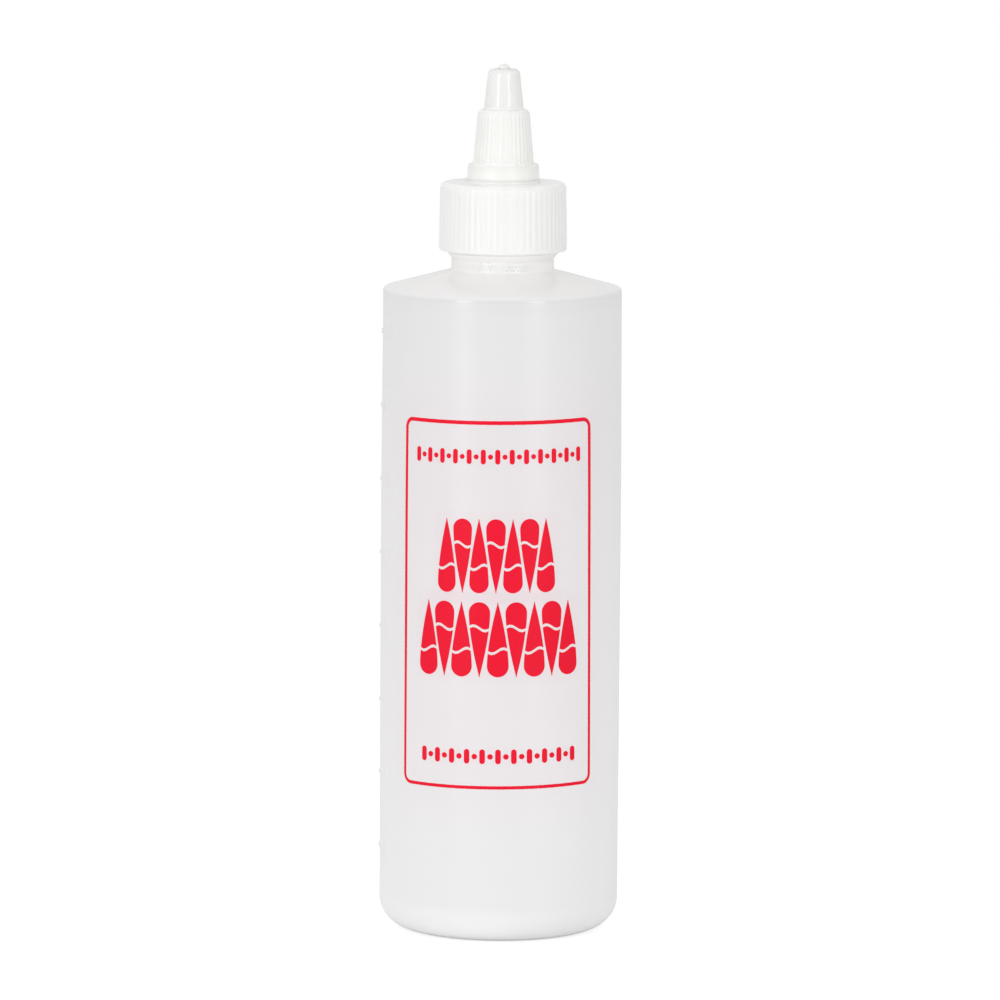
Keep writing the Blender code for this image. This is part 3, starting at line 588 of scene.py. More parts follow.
def wall_radius(height):
    """The outside radius of the bottle's body at this height."""
    near_shoulder = smoothstep((height - SHOULDER_EASE_FOOT_Z) / (BODY_HEIGHT - SHOULDER_EASE_FOOT_Z))
    near_foot = smoothstep((FOOT_EASE_TOP_Z - height) / (FOOT_EASE_TOP_Z - BASE_CORNER_RADIUS))
    return BODY_RADIUS - SHOULDER_EASE * near_shoulder - FOOT_EASE * near_foot


def place_at(angle, radius, height):
    """The point at this angle from the front, this radius and this height."""
    angle = angle - math.pi / 2
    return (radius * math.cos(angle), radius * math.sin(angle), height)


def on_wall(distance, height, depth):
    """The point at this distance round the bottle's wall from its front, this height and depth off it."""
    return place_at(distance / BODY_RADIUS, wall_radius(height) + depth, height)


def wall_distance(angle_deg):
    """The distance round the wall from its front at this angle, positive to the right."""
    return math.radians(angle_deg) * BODY_RADIUS


# Bottle


def base_profile(thickness):
    """The base from its centre out to the standing ring, raised by a thickness of material."""
    ring_inner = BODY_RADIUS - BASE_CORNER_RADIUS - STANDING_RING_WIDTH
    points = [(0, PUSH_UP_HEIGHT + thickness)]
    for share in np.linspace(0, 1, 13):
        height = PUSH_UP_HEIGHT * (1 + math.cos(math.pi * share)) / 2
        points.append((ring_inner - PUSH_UP_RAMP * (1 - share), height + thickness))
    return points


def shoulder_line(radius):
    """The height of the shoulder's outer surface at this radius."""
    outer = wall_radius(BODY_HEIGHT)
    return BODY_HEIGHT + SHOULDER_RISE * (outer - radius) / (outer - NECK_RADIUS)


def bottle_relief(radii, heights, theta):
    """The neck thread, the mould's parting line, the base's pinched seam and the wall's faint waves."""
    radius, height = radii[0], heights[0]
    seam = math.radians(SEAM_DEG)
    along = radii * np.cos(theta - seam)
    across = radii * np.sin(theta - seam)
    if BEAD_TOP_Z < height < LIP_Z - LIP_EDGE_RADIUS and radius > NECK_RADIUS - TOUCH:
        foot = THREAD_TOP_Z - NECK_THREAD_TURNS * THREAD_PITCH
        sweep = NECK_THREAD_TURNS * 2 * math.pi
        return radii + helix(heights, theta, foot, THREAD_PITCH, 0, sweep, NECK_THREAD), heights
    if height <= PUSH_UP_HEIGHT + TOUCH and radius < BODY_RADIUS - BASE_CORNER_RADIUS - STANDING_RING_WIDTH:
        inside = smoothstep((PINCH_HALF_LENGTH - np.abs(along)) / PINCH_END_LENGTH)
        ridge = smoothstep(1 - np.abs(across) / PINCH_HALF_WIDTH) * inside
        return radii, heights - min(PINCH_HEIGHT, height * PINCH_SHARE) * ridge
    if radius > BODY_RADIUS - BODY_WALL / 2 and BASE_CORNER_RADIUS < height < BODY_HEIGHT:
        fade = min(1, min(height - BASE_CORNER_RADIUS, BODY_HEIGHT - height) / WAVE_FADE_LENGTH)
        wave = 0
        for size, turns, rise, start in WAVES:
            wave = wave + size * np.sin(turns * theta + rise * heights + start)
        ridge = smoothstep(1 - np.abs(across) / SEAM_HALF_WIDTH)
        return radii + WALL_WAVE * fade * (wave / WAVES_REACH - 1) / 2 + SEAM_RELIEF * ridge * fade, heights
    return radii, heights


def bottle_columns():
    """The angles of the bottle's columns: evenly spaced, with closer ones along the parting line."""
    even = np.linspace(0, 2 * math.pi, BOTTLE_COLUMNS, endpoint=False)
    near_seam = math.radians(SEAM_DEG) + np.array([-1, -0.5, 0, 0.5, 1]) * SEAM_HALF_WIDTH / BODY_RADIUS
    extra = np.concatenate([near_seam, near_seam + math.pi]) % (2 * math.pi)
    gap = np.abs((even[:, None] - extra[None, :] + math.pi) % (2 * math.pi) - math.pi).min(1)
    return np.sort(np.concatenate([even[gap > SEAM_HALF_WIDTH / BODY_RADIUS], extra]))


def make_bottle():
    """The blow-moulded shell, turned from its inner base over the lip to its outer base."""
    outer_radius = wall_radius(BODY_HEIGHT)
    inner_radius = outer_radius - BODY_WALL
    inner_corner = BASE_CORNER_RADIUS - BODY_WALL
    ring_outer = wall_radius(BASE_CORNER_RADIUS) - BASE_CORNER_RADIUS
    slope = math.hypot(SHOULDER_RISE, outer_radius - NECK_RADIUS) / (outer_radius - NECK_RADIUS)
    below = SHOULDER_WALL * slope
    low = BASE_THICKNESS + inner_corner
    corners = (
        (inner_radius, low),
        (inner_radius, shoulder_line(inner_radius) - below, SHOULDER_CORNER_RADIUS - BODY_WALL),
        (NECK_BORE_RADIUS, shoulder_line(NECK_BORE_RADIUS) - below, NECK_FOOT_FILLET),
        (NECK_BORE_RADIUS, LIP_Z, LIP_EDGE_RADIUS),
        (NECK_RADIUS, LIP_Z, LIP_EDGE_RADIUS),
        (NECK_RADIUS, BEAD_TOP_Z),
        (BEAD_RADIUS, BEAD_LOW_Z + BEAD_RIM, LIP_EDGE_RADIUS / 2),
        (BEAD_RADIUS, BEAD_LOW_Z, LIP_EDGE_RADIUS),
        (NECK_RADIUS, NECK_FOOT_Z + BEAD_FOOT_HEIGHT, NECK_FOOT_FILLET),
        (NECK_RADIUS, NECK_FOOT_Z, NECK_FOOT_FILLET),
        (outer_radius, BODY_HEIGHT, SHOULDER_CORNER_RADIUS, 12),
        (outer_radius, 0),
    )
    inner_top, inner_neck, inner_lip, lip, bead_top, *bead, edge = eased(corners)

    points = base_profile(BASE_THICKNESS) + arc(ring_outer, low, inner_corner, -90, 0, 10)
    for height in np.linspace(low, inner_top[0][1], 12)[1:-1]:
        points.append((wall_radius(height) - BODY_WALL, height))
    points += inner_top + inner_neck + inner_lip
    points += extended(lip, bead_top[0], THREAD_ROW_STEP) + sum(bead, [])
    points = extended(points, edge[0], SHOULDER_ROW_STEP)[:-1] + edge
    corner = arc(ring_outer, BASE_CORNER_RADIUS, BASE_CORNER_RADIUS, 0, -90, 18)
    for height in np.linspace(edge[-1][1], corner[0][1], 46)[1:-1]:
        points.append((wall_radius(height), height))
    points += corner + spaced(base_profile(0)[::-1], BASE_ROW_STEP)
    angles = bottle_columns()
    return turned("bottle_shell", [(points, len(angles))], bottle_relief, angles)


def make_marks():
    """Rounded bars up the side of the bottle, one for each step of the scale."""
    shape = bmesh.new()
    start = wall_distance(MARK_START_DEG)
    end = wall_distance(MARK_END_DEG)
    for mark in range(MARK_COUNT):
        middle = LOWEST_MARK + mark * MARK_PITCH
        loops = []
        for share in np.linspace(0, 1, 25):
            distance = start + (end - start) * share
            from_end = min(1, min(share, 1 - share) * (start - end) / MARK_END_LENGTH)
            swell = MARK_END_SHARE + (1 - MARK_END_SHARE) * math.sqrt(1 - (1 - from_end) ** 2)
            half = MARK_HALF_HEIGHT * swell
            section = [(half, -MARK_SUNK), (half, 0)]
            for angle in np.linspace(0, math.pi, 9)[1:-1]:
                relief = MARK_RELIEF * swell * math.sin(angle) ** MARK_SQUARENESS
                section.append((half * math.cos(angle), relief))
            section += [(-half, 0), (-half, -MARK_SUNK)]
            places = [on_wall(distance, middle + rise, depth) for rise, depth in section]
            loops.append([shape.verts.new(place) for place in places])
        for first, second in zip(loops, loops[1:]):
            bridge(shape, first, second)
        shape.faces.new(loops[0])
        shape.faces.new(loops[-1])
    return piece_from("volume_marks", shape)


def numeral_mesh(words):
    """A mesh of generic numerals in Blender's own typeface, lying flat, with softened edges."""
    text = bpy.data.curves.new("numeral", "FONT")
    text.body = words
    text.size = NUMERAL_HEIGHT / TYPE_HEIGHT_SHARE
    text.space_character = NUMERAL_SPACING
    text.extrude = NUMERAL_RELIEF
    text.bevel_depth = NUMERAL_BEVEL
    text.bevel_resolution = 2
    text.resolution_u = 5
    holder = add_object("numeral", text)
    mesh = bpy.data.meshes.new_from_object(holder.evaluated_get(bpy.context.evaluated_depsgraph_get()))
    bpy.data.objects.remove(holder)
    bpy.data.curves.remove(text)
    return mesh


def make_numerals():
    """The scale's raised numerals, wrapped onto the wall beside their marks."""
    shape = bmesh.new()
    start = wall_distance(NUMERAL_START_DEG)
    for mark in range(MARK_COUNT):
        mesh = numeral_mesh(str((mark + 1) * MARK_STEP_ML))
        numeral = bmesh.new()
        numeral.from_mesh(mesh)
        bmesh.ops.remove_doubles(numeral, verts=numeral.verts, dist=TOUCH)
        places = np.array([vertex.co for vertex in numeral.verts])
        left, low_y = places.min(0)[:2]
        high_y, front = places.max(0)[1:]
        scale = NUMERAL_HEIGHT / (high_y - low_y)
        foot = LOWEST_MARK + mark * MARK_PITCH + NUMERAL_RISE - NUMERAL_HEIGHT / 2
        for vertex in numeral.verts:
            distance = start + (vertex.co.x - left) * scale
            height = foot + (vertex.co.y - low_y) * scale
            vertex.co = on_wall(distance, height, vertex.co.z - front + NUMERAL_RELIEF)
        numeral.to_mesh(mesh)
        numeral.free()
        shape.from_mesh(mesh)
        bpy.data.meshes.remove(mesh)
    return piece_from("volume_numerals", shape)


def make_studs():
    """Small raised studs in two plain patches on the neck."""
    shape = bmesh.new()
    turn = STUD_PITCH / NECK_RADIUS
    for start_deg, end_deg in STUD_PATCHES_DEG:
        count = round(math.radians(end_deg - start_deg) / turn)
        for row in range(STUD_ROWS):
            middle = NECK_FOOT_Z + STUD_FOOT + (row + 0.5) * STUD_PITCH
            for column in range(count):
                angle = math.radians(start_deg) + (column + 0.25 + row % 2 / 2) * turn
                ring = []
                for aside, rise in ((-1, 0), (0, -1), (1, 0), (0, 1)):
                    corner = angle + aside * STUD_HALF_WIDTH / NECK_RADIUS
                    place = place_at(corner, NECK_RADIUS - STUD_RELIEF, middle + rise * STUD_HALF_WIDTH)
                    ring.append(shape.verts.new(place))
                tip = shape.verts.new(place_at(angle, NECK_RADIUS + STUD_RELIEF, middle))
                for index in range(4):
                    shape.faces.new((ring[index], ring[(index + 1) % 4], tip))
                shape.faces.new(ring)
    return piece_from("neck_studs", shape)


# Printed ink


def printed_point(distance, height, depth):
    """A point of the print, whose rows rise to the right and whose right side leans in at the top."""
    across = (distance - PRINT_LEFT) / (PRINT_RIGHT - PRINT_LEFT)
    from_middle = height - (PRINT_FOOT + PRINT_TOP) / 2
    moved = distance - PRINT_LEAN * across * from_middle
    return on_wall(moved, height + PRINT_SLOPE * (distance - (PRINT_LEFT + PRINT_RIGHT) / 2), depth)


def print_outline():
    """Points along the middle of the printed line, anticlockwise."""
    left, right = PRINT_LEFT + PRINT_CORNER, PRINT_RIGHT - PRINT_CORNER
    low, high = PRINT_FOOT + PRINT_CORNER, PRINT_TOP - PRINT_CORNER
    points = []
    for start, centre in zip((-90, 0, 90, 180), ((right, low), (right, high), (left, high), (left, low))):
        points += arc(*centre, PRINT_CORNER, start, start + 90, 10)
    return spaced(points + points[:1], PRINT_LINE_STEP)[:-1]


def make_border():
    """The printed line, a rounded rectangle of ink whose edges ripple as a screen leaves them."""
    outline = print_outline()
    count = len(outline)
    shape = bmesh.new()
    loops = []
    for offset, depth in INK_SECTION:
        loop = []
        for index in range(count):
            before, after = Vector(outline[index - 1]), Vector(outline[(index + 1) % count])
            tangent = (after - before).normalized()
            ripple = sum(math.sin(along * index + aside * offset) for along, aside in INK_RIPPLES)
            growth = PRINT_LINE_GROWTH * ((outline[index][1] - PRINT_FOOT) / (PRINT_TOP - PRINT_FOOT) - 0.5)
            half = PRINT_LINE / 2 * (1 + growth + INK_EDGE_RIPPLE * ripple / 2)
            place = Vector(outline[index]) + Vector((-tangent.y, tangent.x)) * (offset * half)
            loop.append(shape.verts.new(printed_point(place.x, place.y, depth)))
        loops.append(loop)
    for first, second in zip(loops, loops[1:] + loops[:1]):
        bridge(shape, first, second)
    return piece_from("border_line", shape)


def rim_of(grid):
    """The outermost entries of a grid's rows, in turn."""
    return grid[0] + [row[-1] for row in grid[1:]] + grid[-1][-2::-1] + [row[0] for row in grid[-2:0:-1]]


def ink_patch(shape, grid):
    """Adds a layer of ink over rows of (distance, height) points, with its edge sunk into the wall."""
    top = [[shape.verts.new(printed_point(*point, INK_THICKNESS)) for point in row] for row in grid]
    for lower, upper in zip(top, top[1:]):
        for index in range(len(lower) - 1):
            shape.faces.new((lower[index], lower[index + 1], upper[index + 1], upper[index]))
    sunk = [shape.verts.new(printed_point(*point, -INK_SUNK)) for point in rim_of(grid)]
    bridge(shape, rim_of(top), sunk)


def drop_half_width(radius, height, rise):
    """Half the width of a drop this far up from its round end."""
    if rise < radius:
        return math.sqrt(max(0, radius**2 - (radius - rise) ** 2))
    return radius * (1 - ((rise - radius) / (height - radius)) ** DROP_TAPER)


def add_drop(shape, middle, low, radius, height, upright):
    """A tall drop in ink, point up or point down, with a thin bare wave across it."""
    across = np.linspace(-1, 1, DROP_COLUMNS)
    levels = height * (DROP_LEVEL_SHARE + DROP_LEVEL_WAVE * np.sin(DROP_LEVEL_TURN * across))
    even = np.linspace(0, 1, DROP_ROWS)
    for feet, tops, shares in (
        (np.zeros(DROP_COLUMNS), levels, even**DROP_ROW_CROWDING),
        (levels + DROP_LEVEL_GAP, np.full(DROP_COLUMNS, height), even),
    ):
        grid = []
        for share in shares:
            row = []
            for side, foot, top in zip(across, feet, tops):
                rise = foot + (top - foot) * share
                half = max(drop_half_width(radius, height, rise), INK_POINT_HALF_WIDTH)
                row.append((middle + side * half, low + (rise if upright else height - rise)))
            grid.append(row)
        ink_patch(shape, grid)


def add_pill(shape, middle, low, width, height):
    """An upright bar of ink with round ends, or a dot where its height is its width."""
    grid = []
    for end, start in ((low + width / 2, -90), (low + height - width / 2, 0)):
        for half, rise in arc(0, end, width / 2, start, start + 90, 6):
            half = max(half, INK_POINT_HALF_WIDTH)
            grid.append([(middle - half, rise), (middle, rise), (middle + half, rise)])
    ink_patch(shape, grid)


def make_drops():
    """Two rows of drops that point up and down in turns, as tall and wide as the photograph's large rows."""
    shape = bmesh.new()
    for (start_deg, end_deg, low, high), count in ((UPPER_DROPS, 7), (LOWER_DROPS, 9)):
        start, end = wall_distance(start_deg), wall_distance(end_deg)
        radius = (end - start - (count - 1) * DROP_GAP) / (2 + DROP_PITCH_SHARE * (count - 1))
        pitch = DROP_PITCH_SHARE * radius + DROP_GAP
        for index in range(count):
            add_drop(shape, start + radius + pitch * index, low, radius, high - low, index % 2 == 0)
    return piece_from("print_drops", shape)


def make_dashes():
    """Two small rows in which short bars and dots take turns."""
    shape = bmesh.new()
    for (start_deg, end_deg, low, high), count in ((UPPER_DASHES, 25), (LOWER_DASHES, 21)):
        start, end = wall_distance(start_deg), wall_distance(end_deg)
        pitch = (end - start) / (count - 1 + DASH_SHARE)
        width = pitch * DASH_SHARE
        for index in range(count):
            middle = start + width / 2 + pitch * index
            if index % 2 == 0:
                add_pill(shape, middle, low, width, high - low)
            else:
                add_pill(shape, middle, (low + high - width) / 2, width, width)
    return piece_from("print_dashes", shape)


# Screw closure


def closure_relief(radii, heights, theta):
    """The ribs round the skirt, the thread inside it, and the cams on the post."""
    radius, height = radii[0], heights[0]
    if radius > SKIRT_BORE_RADIUS + 0.0008 and SKIRT_FOOT_Z + 0.0003 < height < DECK_Z - 0.0002:
        relief = rib_relief(heights, theta, CLOSURE_RIBS, radius, RIB_FOOT_Z, RIB_TOP_Z, RIB_DEPTH)
        return radii + relief, heights
    if abs(radius - SKIRT_BORE_RADIUS) < TOUCH and height > SKIRT_FOOT_Z + 0.0002:
        foot = THREAD_TOP_Z - (NECK_THREAD_TURNS + 0.5) * THREAD_PITCH
        sweep = CLOSURE_THREAD_TURNS * 2 * math.pi
        return radii - helix(heights, theta, foot, THREAD_PITCH, 0, sweep, CLOSURE_THREAD), heights
    if abs(radius - POST_RADIUS) < TOUCH and height > SEAT_Z + 0.001:
        return radii + cams(heights, theta, POST_CAM_Z, POST_CAM_START, POST_BEAD_Z), heights
    return radii, heights


def make_closure():
    """The screw closure, turned from the pin's top over the post, deck and skirt to the bore."""
    plain_foot = CLOSURE_RADIUS - RIB_PROUD
    plain_top = plain_foot - CLOSURE_DRAFT
    foot = (plain_foot, SKIRT_FOOT_Z)
    bore_foot = (SKIRT_BORE_RADIUS, SKIRT_FOOT_Z)
    bore_top = (SKIRT_BORE_RADIUS, DECK_UNDERSIDE_Z)
    pin_neck = (PIN_RADIUS, PIN_TOP_Z - PIN_RADIUS - PIN_HEAD_LENGTH)
    corners = (
        pin_neck,
        (PIN_FOOT_RADIUS, POST_TOP_Z, PIN_FOOT_FILLET, 4),
        (POST_RADIUS, POST_TOP_Z, POST_TOP_CHAMFER, 5),
        (POST_RADIUS, SEAT_Z, POST_FOOT_FILLET, 4),
        (SEAT_RADIUS, SEAT_Z, SEAT_EDGE_RADIUS, 6),
        (SEAT_RADIUS, DECK_Z, SEAT_FOOT_FILLET, 5),
        (plain_top, DECK_Z, CLOSURE_EDGE_RADIUS, 10),
        foot,
    )
    pin_foot, post_top, post_foot, seat_top, seat_foot, edge = eased(corners)

    pin = [(0, PIN_TOP_Z)] + arc(0, PIN_TOP_Z - PIN_RADIUS, PIN_RADIUS, 84, 0, 12) + [pin_neck] + pin_foot
    post = extended(post_top, (POST_RADIUS, SEAT_Z + 0.0003), CAM_ROW_STEP) + post_foot
    seat = seat_top + seat_foot + [(edge[0][0] - 0.0003, DECK_Z)]
    draft = CLOSURE_DRAFT / (DECK_Z - SKIRT_FOOT_Z)
    near_top = RIB_TOP_Z - RIB_TOP_LENGTH
    near_foot = RIB_FOOT_Z + RIB_FOOT_LENGTH
    skirt = extended(edge, (plain_top + (DECK_Z - near_top) * draft, near_top), RIB_ROW_STEP)
    skirt = extended(skirt, (plain_foot - (near_foot - SKIRT_FOOT_Z) * draft, near_foot), SKIRT_ROW_STEP)
    skirt = extended(skirt, (plain_foot, SKIRT_FOOT_Z + 0.0004), RIB_ROW_STEP)
    skirt += rounded(skirt[-1], foot, bore_foot, SKIRT_EDGE_RADIUS, 5)
    bore = [(SKIRT_BORE_RADIUS + SKIRT_EDGE_RADIUS * 2, SKIRT_FOOT_Z)]
    bore += extended(rounded(foot, bore_foot, bore_top, SKIRT_EDGE_RADIUS, 4), bore_top, BORE_ROW_STEP)
    under = [(POST_BORE_RADIUS, DECK_UNDERSIDE_Z), (POST_BORE_RADIUS, POST_ROOF_Z), (0, POST_ROOF_Z)]

    stretches = (
        (pin, PIN_COLUMNS),
        (post, POST_COLUMNS),
        (seat, CLOSURE_PLAIN_COLUMNS),
        (skirt, CLOSURE_COLUMNS),
        (bore, CLOSURE_PLAIN_COLUMNS),
        (under, POST_COLUMNS),
    )
    return turned("closure_moulding", stretches, closure_relief)


# Twist top


def top_relief(radii, heights, theta):
    """The ribs round the grip and the cams in its bore."""
    radius, height = radii[0], heights[0]
    if abs(radius - GRIP_BORE_RADIUS) < TOUCH and height > COLLAR_BORE_Z + TOUCH:
        return radii - cams(heights, theta, TOP_CAM_Z, TOP_CAM_START, TOP_BEAD_Z), heights
    share = (height - GRIP_FOOT_Z) / (NOZZLE_FOOT_Z - GRIP_FOOT_Z)
    inward = GRIP_RADIUS + (GRIP_TOP_RADIUS - GRIP_RADIUS) * share - radius
    if GRIP_FOOT_Z < height < NOZZLE_FOOT_Z - 0.0001 and inward < GRIP_EDGE_RADIUS:
        top = NOZZLE_FOOT_Z - GRIP_EDGE_RADIUS * 0.3
        relief = rib_relief(heights, theta, GRIP_RIBS, GRIP_RADIUS, GRIP_FOOT_Z, top, GRIP_RIB_DEPTH)
        fade = smoothstep(1 - inward / GRIP_EDGE_RADIUS)
        return radii + (relief - RIB_PROUD) * fade, heights
    return radii, heights


def make_top():
    """The twist top, turned from its orifice over the nozzle, grip and collar and back through its bore."""
    orifice_foot = (ORIFICE_RADIUS, LAND_Z)
    collar_bore_foot = (COLLAR_BORE_RADIUS, COLLAR_FOOT_Z)
    corners = (
        orifice_foot,
        (ORIFICE_RADIUS, TIP_Z, ORIFICE_EDGE_RADIUS, 3),
        (NOZZLE_TOP_RADIUS, TIP_Z, NOZZLE_EDGE_RADIUS, 12),
        (NOZZLE_RADIUS, NOZZLE_FOOT_Z, NOZZLE_FOOT_FILLET, 5),
        (GRIP_TOP_RADIUS, NOZZLE_FOOT_Z, GRIP_EDGE_RADIUS, 12),
        (GRIP_RADIUS, GRIP_FOOT_Z),
        (COLLAR_TOP_RADIUS, GRIP_FOOT_Z, COLLAR_EDGE_RADIUS, 6),
        (COLLAR_RADIUS, COLLAR_FOOT_Z, COLLAR_FOOT_EDGE_RADIUS, 4),
        collar_bore_foot,
    )
    orifice, tip, nozzle_foot, grip_top, grip_foot, collar_top, collar_foot = eased(corners)

    nozzle = orifice + extended(tip, (NOZZLE_RADIUS, NOZZLE_FOOT_Z + 0.0003), NOZZLE_ROW_STEP) + nozzle_foot
    grip = extended(grip_top, (GRIP_RADIUS, GRIP_FOOT_Z + 0.0001), GRIP_ROW_STEP) + grip_foot
    collar = collar_top + collar_foot + [collar_bore_foot, (COLLAR_BORE_RADIUS, COLLAR_BORE_Z)]
    bore_top_z = NOZZLE_FOOT_Z - NOZZLE_WALL
    bore = spaced([(GRIP_BORE_RADIUS, COLLAR_BORE_Z), (GRIP_BORE_RADIUS, bore_top_z)], CAM_ROW_STEP)
    chamber_top = (CHAMBER_TOP_RADIUS, LAND_Z - CHAMBER_TAPER)
    bore += [(NOZZLE_RADIUS - NOZZLE_WALL, NOZZLE_FOOT_Z), chamber_top, orifice_foot]
    stretches = (
        (nozzle, NOZZLE_COLUMNS),
        (grip, GRIP_COLUMNS),
        (collar, COLLAR_COLUMNS),
        (bore, NOZZLE_COLUMNS),
    )
    return turned("top_moulding", stretches, top_relief, closed=True)


def make_gasket():
    """A foam ring with eased edges."""
    low, high = GASKET_LOW.z, GASKET_HIGH.z
    inner, outer = GASKET_BORE_RADIUS, GASKET_RADIUS
    places = ((inner, low), (inner, high), (outer, high), (outer, low))
    corners = [(*place, GASKET_EDGE_RADIUS, 4) for place in places]
    points = sum(eased([corners[-1], *corners, corners[0]]), [])
    return turned("gasket_ring", [(points, GASKET_COLUMNS)], closed=True)


# Materials


def new_material(name):
    """A material with its shader and the coordinates that its patterns follow."""
    material = bpy.data.materials.new(name)
    material.use_nodes = True
    nodes = material.node_tree.nodes
    return material, nodes["Principled BSDF"], nodes.new("ShaderNodeTexCoord").outputs["Object"]


def connect(made, **inputs):
    """Gives a node's sockets values or links. An underscore stands for a space, and in0 for socket 0."""
    for key, value in inputs.items():
        socket = made.inputs[int(key[2:]) if key.startswith("in") else key.replace("_", " ")]
        if isinstance(value, bpy.types.NodeSocket):
            made.id_data.links.new(value, socket)
        elif socket.type == "RGBA":
            socket.default_value = (*value, 1)
        else:
            socket.default_value = value
    return made


def node(tree, kind, settings=None, **inputs):
    """Adds a node with its own settings and its sockets' values or links."""
    made = tree.nodes.new(kind)
    for key, value in (settings or {}).items():
        setattr(made, key, value)
    return connect(made, **inputs)


def axes(vector):
    """The x, y and z of a vector."""
    return node(vector.id_data, "ShaderNodeSeparateXYZ", Vector=vector).outputs


def noise(place, scale, detail=1, roughness=0.5):
    """Noise over the coordinates, mostly within NOISE_RANGE."""
    values = {"Scale": scale, "Detail": detail, "Roughness": roughness}
    return node(place.id_data, "ShaderNodeTexNoise", Vector=place, **values).outputs["Fac"]


def spread(value, low, high, to_low=0, to_high=1):
    """Maps a value between two limits to another range, held at its ends."""
    limits = {"in1": low, "in2": high, "in3": to_low, "in4": to_high}
    return node(value.id_data, "ShaderNodeMapRange", in0=value, **limits).outputs[0]


def mixed(factor, first, second, blend="MIX"):
    """A colour between two, by a factor."""
    settings = {"data_type": "RGBA", "blend_type": blend}
    return node(factor.id_data, "ShaderNodeMix", settings, in0=factor, in6=first, in7=second).outputs[2]


def stepped(tone, value, steps):
    """A tone that turns into another over each step (start, end, tone) of the value."""
    for start, end, step_tone in steps:
        tone = mixed(spread(value, start, end), tone, step_tone)
    return tone


def math_node(operation, first, second=0.0):
    """The result of an operation on a value, or on two."""
    return node(first.id_data, "ShaderNodeMath", {"operation": operation}, in0=first, in1=second).outputs[0]


def away(value, middle, *ramp):
    """A ramp over how far a value is from a middle."""
    return spread(math_node("ABSOLUTE", math_node("SUBTRACT", value, middle)), *ramp)


def bump(height, distance):
    """Normals of a fine relief."""
    return node(height.id_data, "ShaderNodeBump", Height=height, Distance=distance).outputs[0]


def painted_body_light_and_shade(around, z):
    """Painted shade towards the top, in front and at the top's edge, painted light at the foot, and a warm
    painted shoulder.
    """
    tone = mixed(spread(z, *BODY_PAINTED_SHADE_RAMP), BODY_PAINTED_LIGHT_LOW_TONE, BODY_PAINTED_SHADE_HIGH_TONE)
    tone = mixed(away(around, *PAINTED_FRONT_SHADE_AREA), tone, PAINTED_FRONT_SHADE, "MULTIPLY")
    tone = mixed(spread(z, *PAINTED_EDGE_SHADE_RAMP), tone, CLOUD_AND_PAINTED_EDGE_SHADE, "MULTIPLY")
    # Painted light at the foot
    foot = math_node("MULTIPLY", spread(z, *PAINTED_FOOT_LIGHT_RAMP), away(around, *PAINTED_FOOT_LIGHT_AREA))
    foot = math_node("MAXIMUM", foot, spread(z, *PAINTED_FOOT_LINE_LIGHT_RAMP))
    tone = mixed(foot, tone, PAINTED_FOOT_LIGHT_TONE)
    # Painted light on the shoulder
    shoulder = mixed(spread(z, *SHOULDER_TOP_PAINTED_LIGHT_RAMP), SHOULDER_PAINTED_LIGHT_TONE, SHOULDER_TOP_PAINTED_LIGHT_TONE)
    return mixed(spread(z, *SHOULDER_PAINTED_LIGHT_RAMP), tone, shoulder)


def painted_neck_light_and_shade(around, z):
    """Painted shade in front and painted light to the right, with painted light in the crease below the
    bead.
    """
    sides = mixed(spread(around, *NECK_PAINTED_LIGHT_SIDE_RAMP), NECK_LEFT_PAINTED_LIGHT_TONE, NECK_RIGHT_PAINTED_LIGHT_TONE)
    return stepped(mixed(away(around, *NECK_PAINTED_SHADE_AREA), NECK_FRONT_PAINTED_SHADE_TONE, sides), z, BEAD_PAINTED_LIGHT_STEPS)


def painted_ink_glow(around, z):
    """How strongly the painted pink glow of the red ink's light lies on the wall, most of all between its
    large shapes.
    """
    cast = 0.0
    for (start_deg, end_deg, low, high), strength, side_fade, height_fade in PAINTED_INK_GLOW_AREAS:
        reach, rise = math.radians(end_deg - start_deg) / 2, (high - low) / 2
        middle = math.radians(end_deg + start_deg) / 2
        aside = away(around, middle, reach, reach + side_fade, strength, 0)
        above = away(z, (low + high) / 2, rise, rise + height_fade, 1, 0)
        cast = math_node("MAXIMUM", math_node("MULTIPLY", aside, above), cast)
    return cast


def natural_plastic():
    """Milky polyethylene, cloudy, with painted light and shade, a warmer painted shoulder and neck, and a
    painted pink glow in the print.
    """
    material, shader, place = new_material("natural_plastic")
    x, y, z = axes(place)
    around = math_node("ARCTAN2", x, math_node("MULTIPLY", y, -1.0))
    neck = painted_neck_light_and_shade(around, z)
    tone = mixed(spread(z, *NECK_RAMP), painted_body_light_and_shade(around, z), neck)
    tone = mixed(painted_ink_glow(around, z), tone, PAINTED_INK_GLOW_TONE, "MULTIPLY")
    clouds = spread(noise(place, 55, 3, 0.6), *CLOUD_RAMP)
    tone = mixed(clouds, tone, CLOUD_AND_PAINTED_EDGE_SHADE, "MULTIPLY")
    gloss = spread(noise(place, 90, 4, 0.6), *NOISE_RANGE, *BODY_GLOSS)
    for ramp in (BEAD_GLOSS_RAMP, SHOULDER_GLOSS_RAMP):
        gloss = math_node("MULTIPLY", gloss, spread(z, *ramp))
    peel = bump(noise(place, 700), PEEL_DEPTH)
    connect(shader, Base_Color=tone, Roughness=gloss, Normal=peel)
    connect(shader, Sheen_Weight=0.12, Sheen_Roughness=0.5, IOR=1.5)
    return material


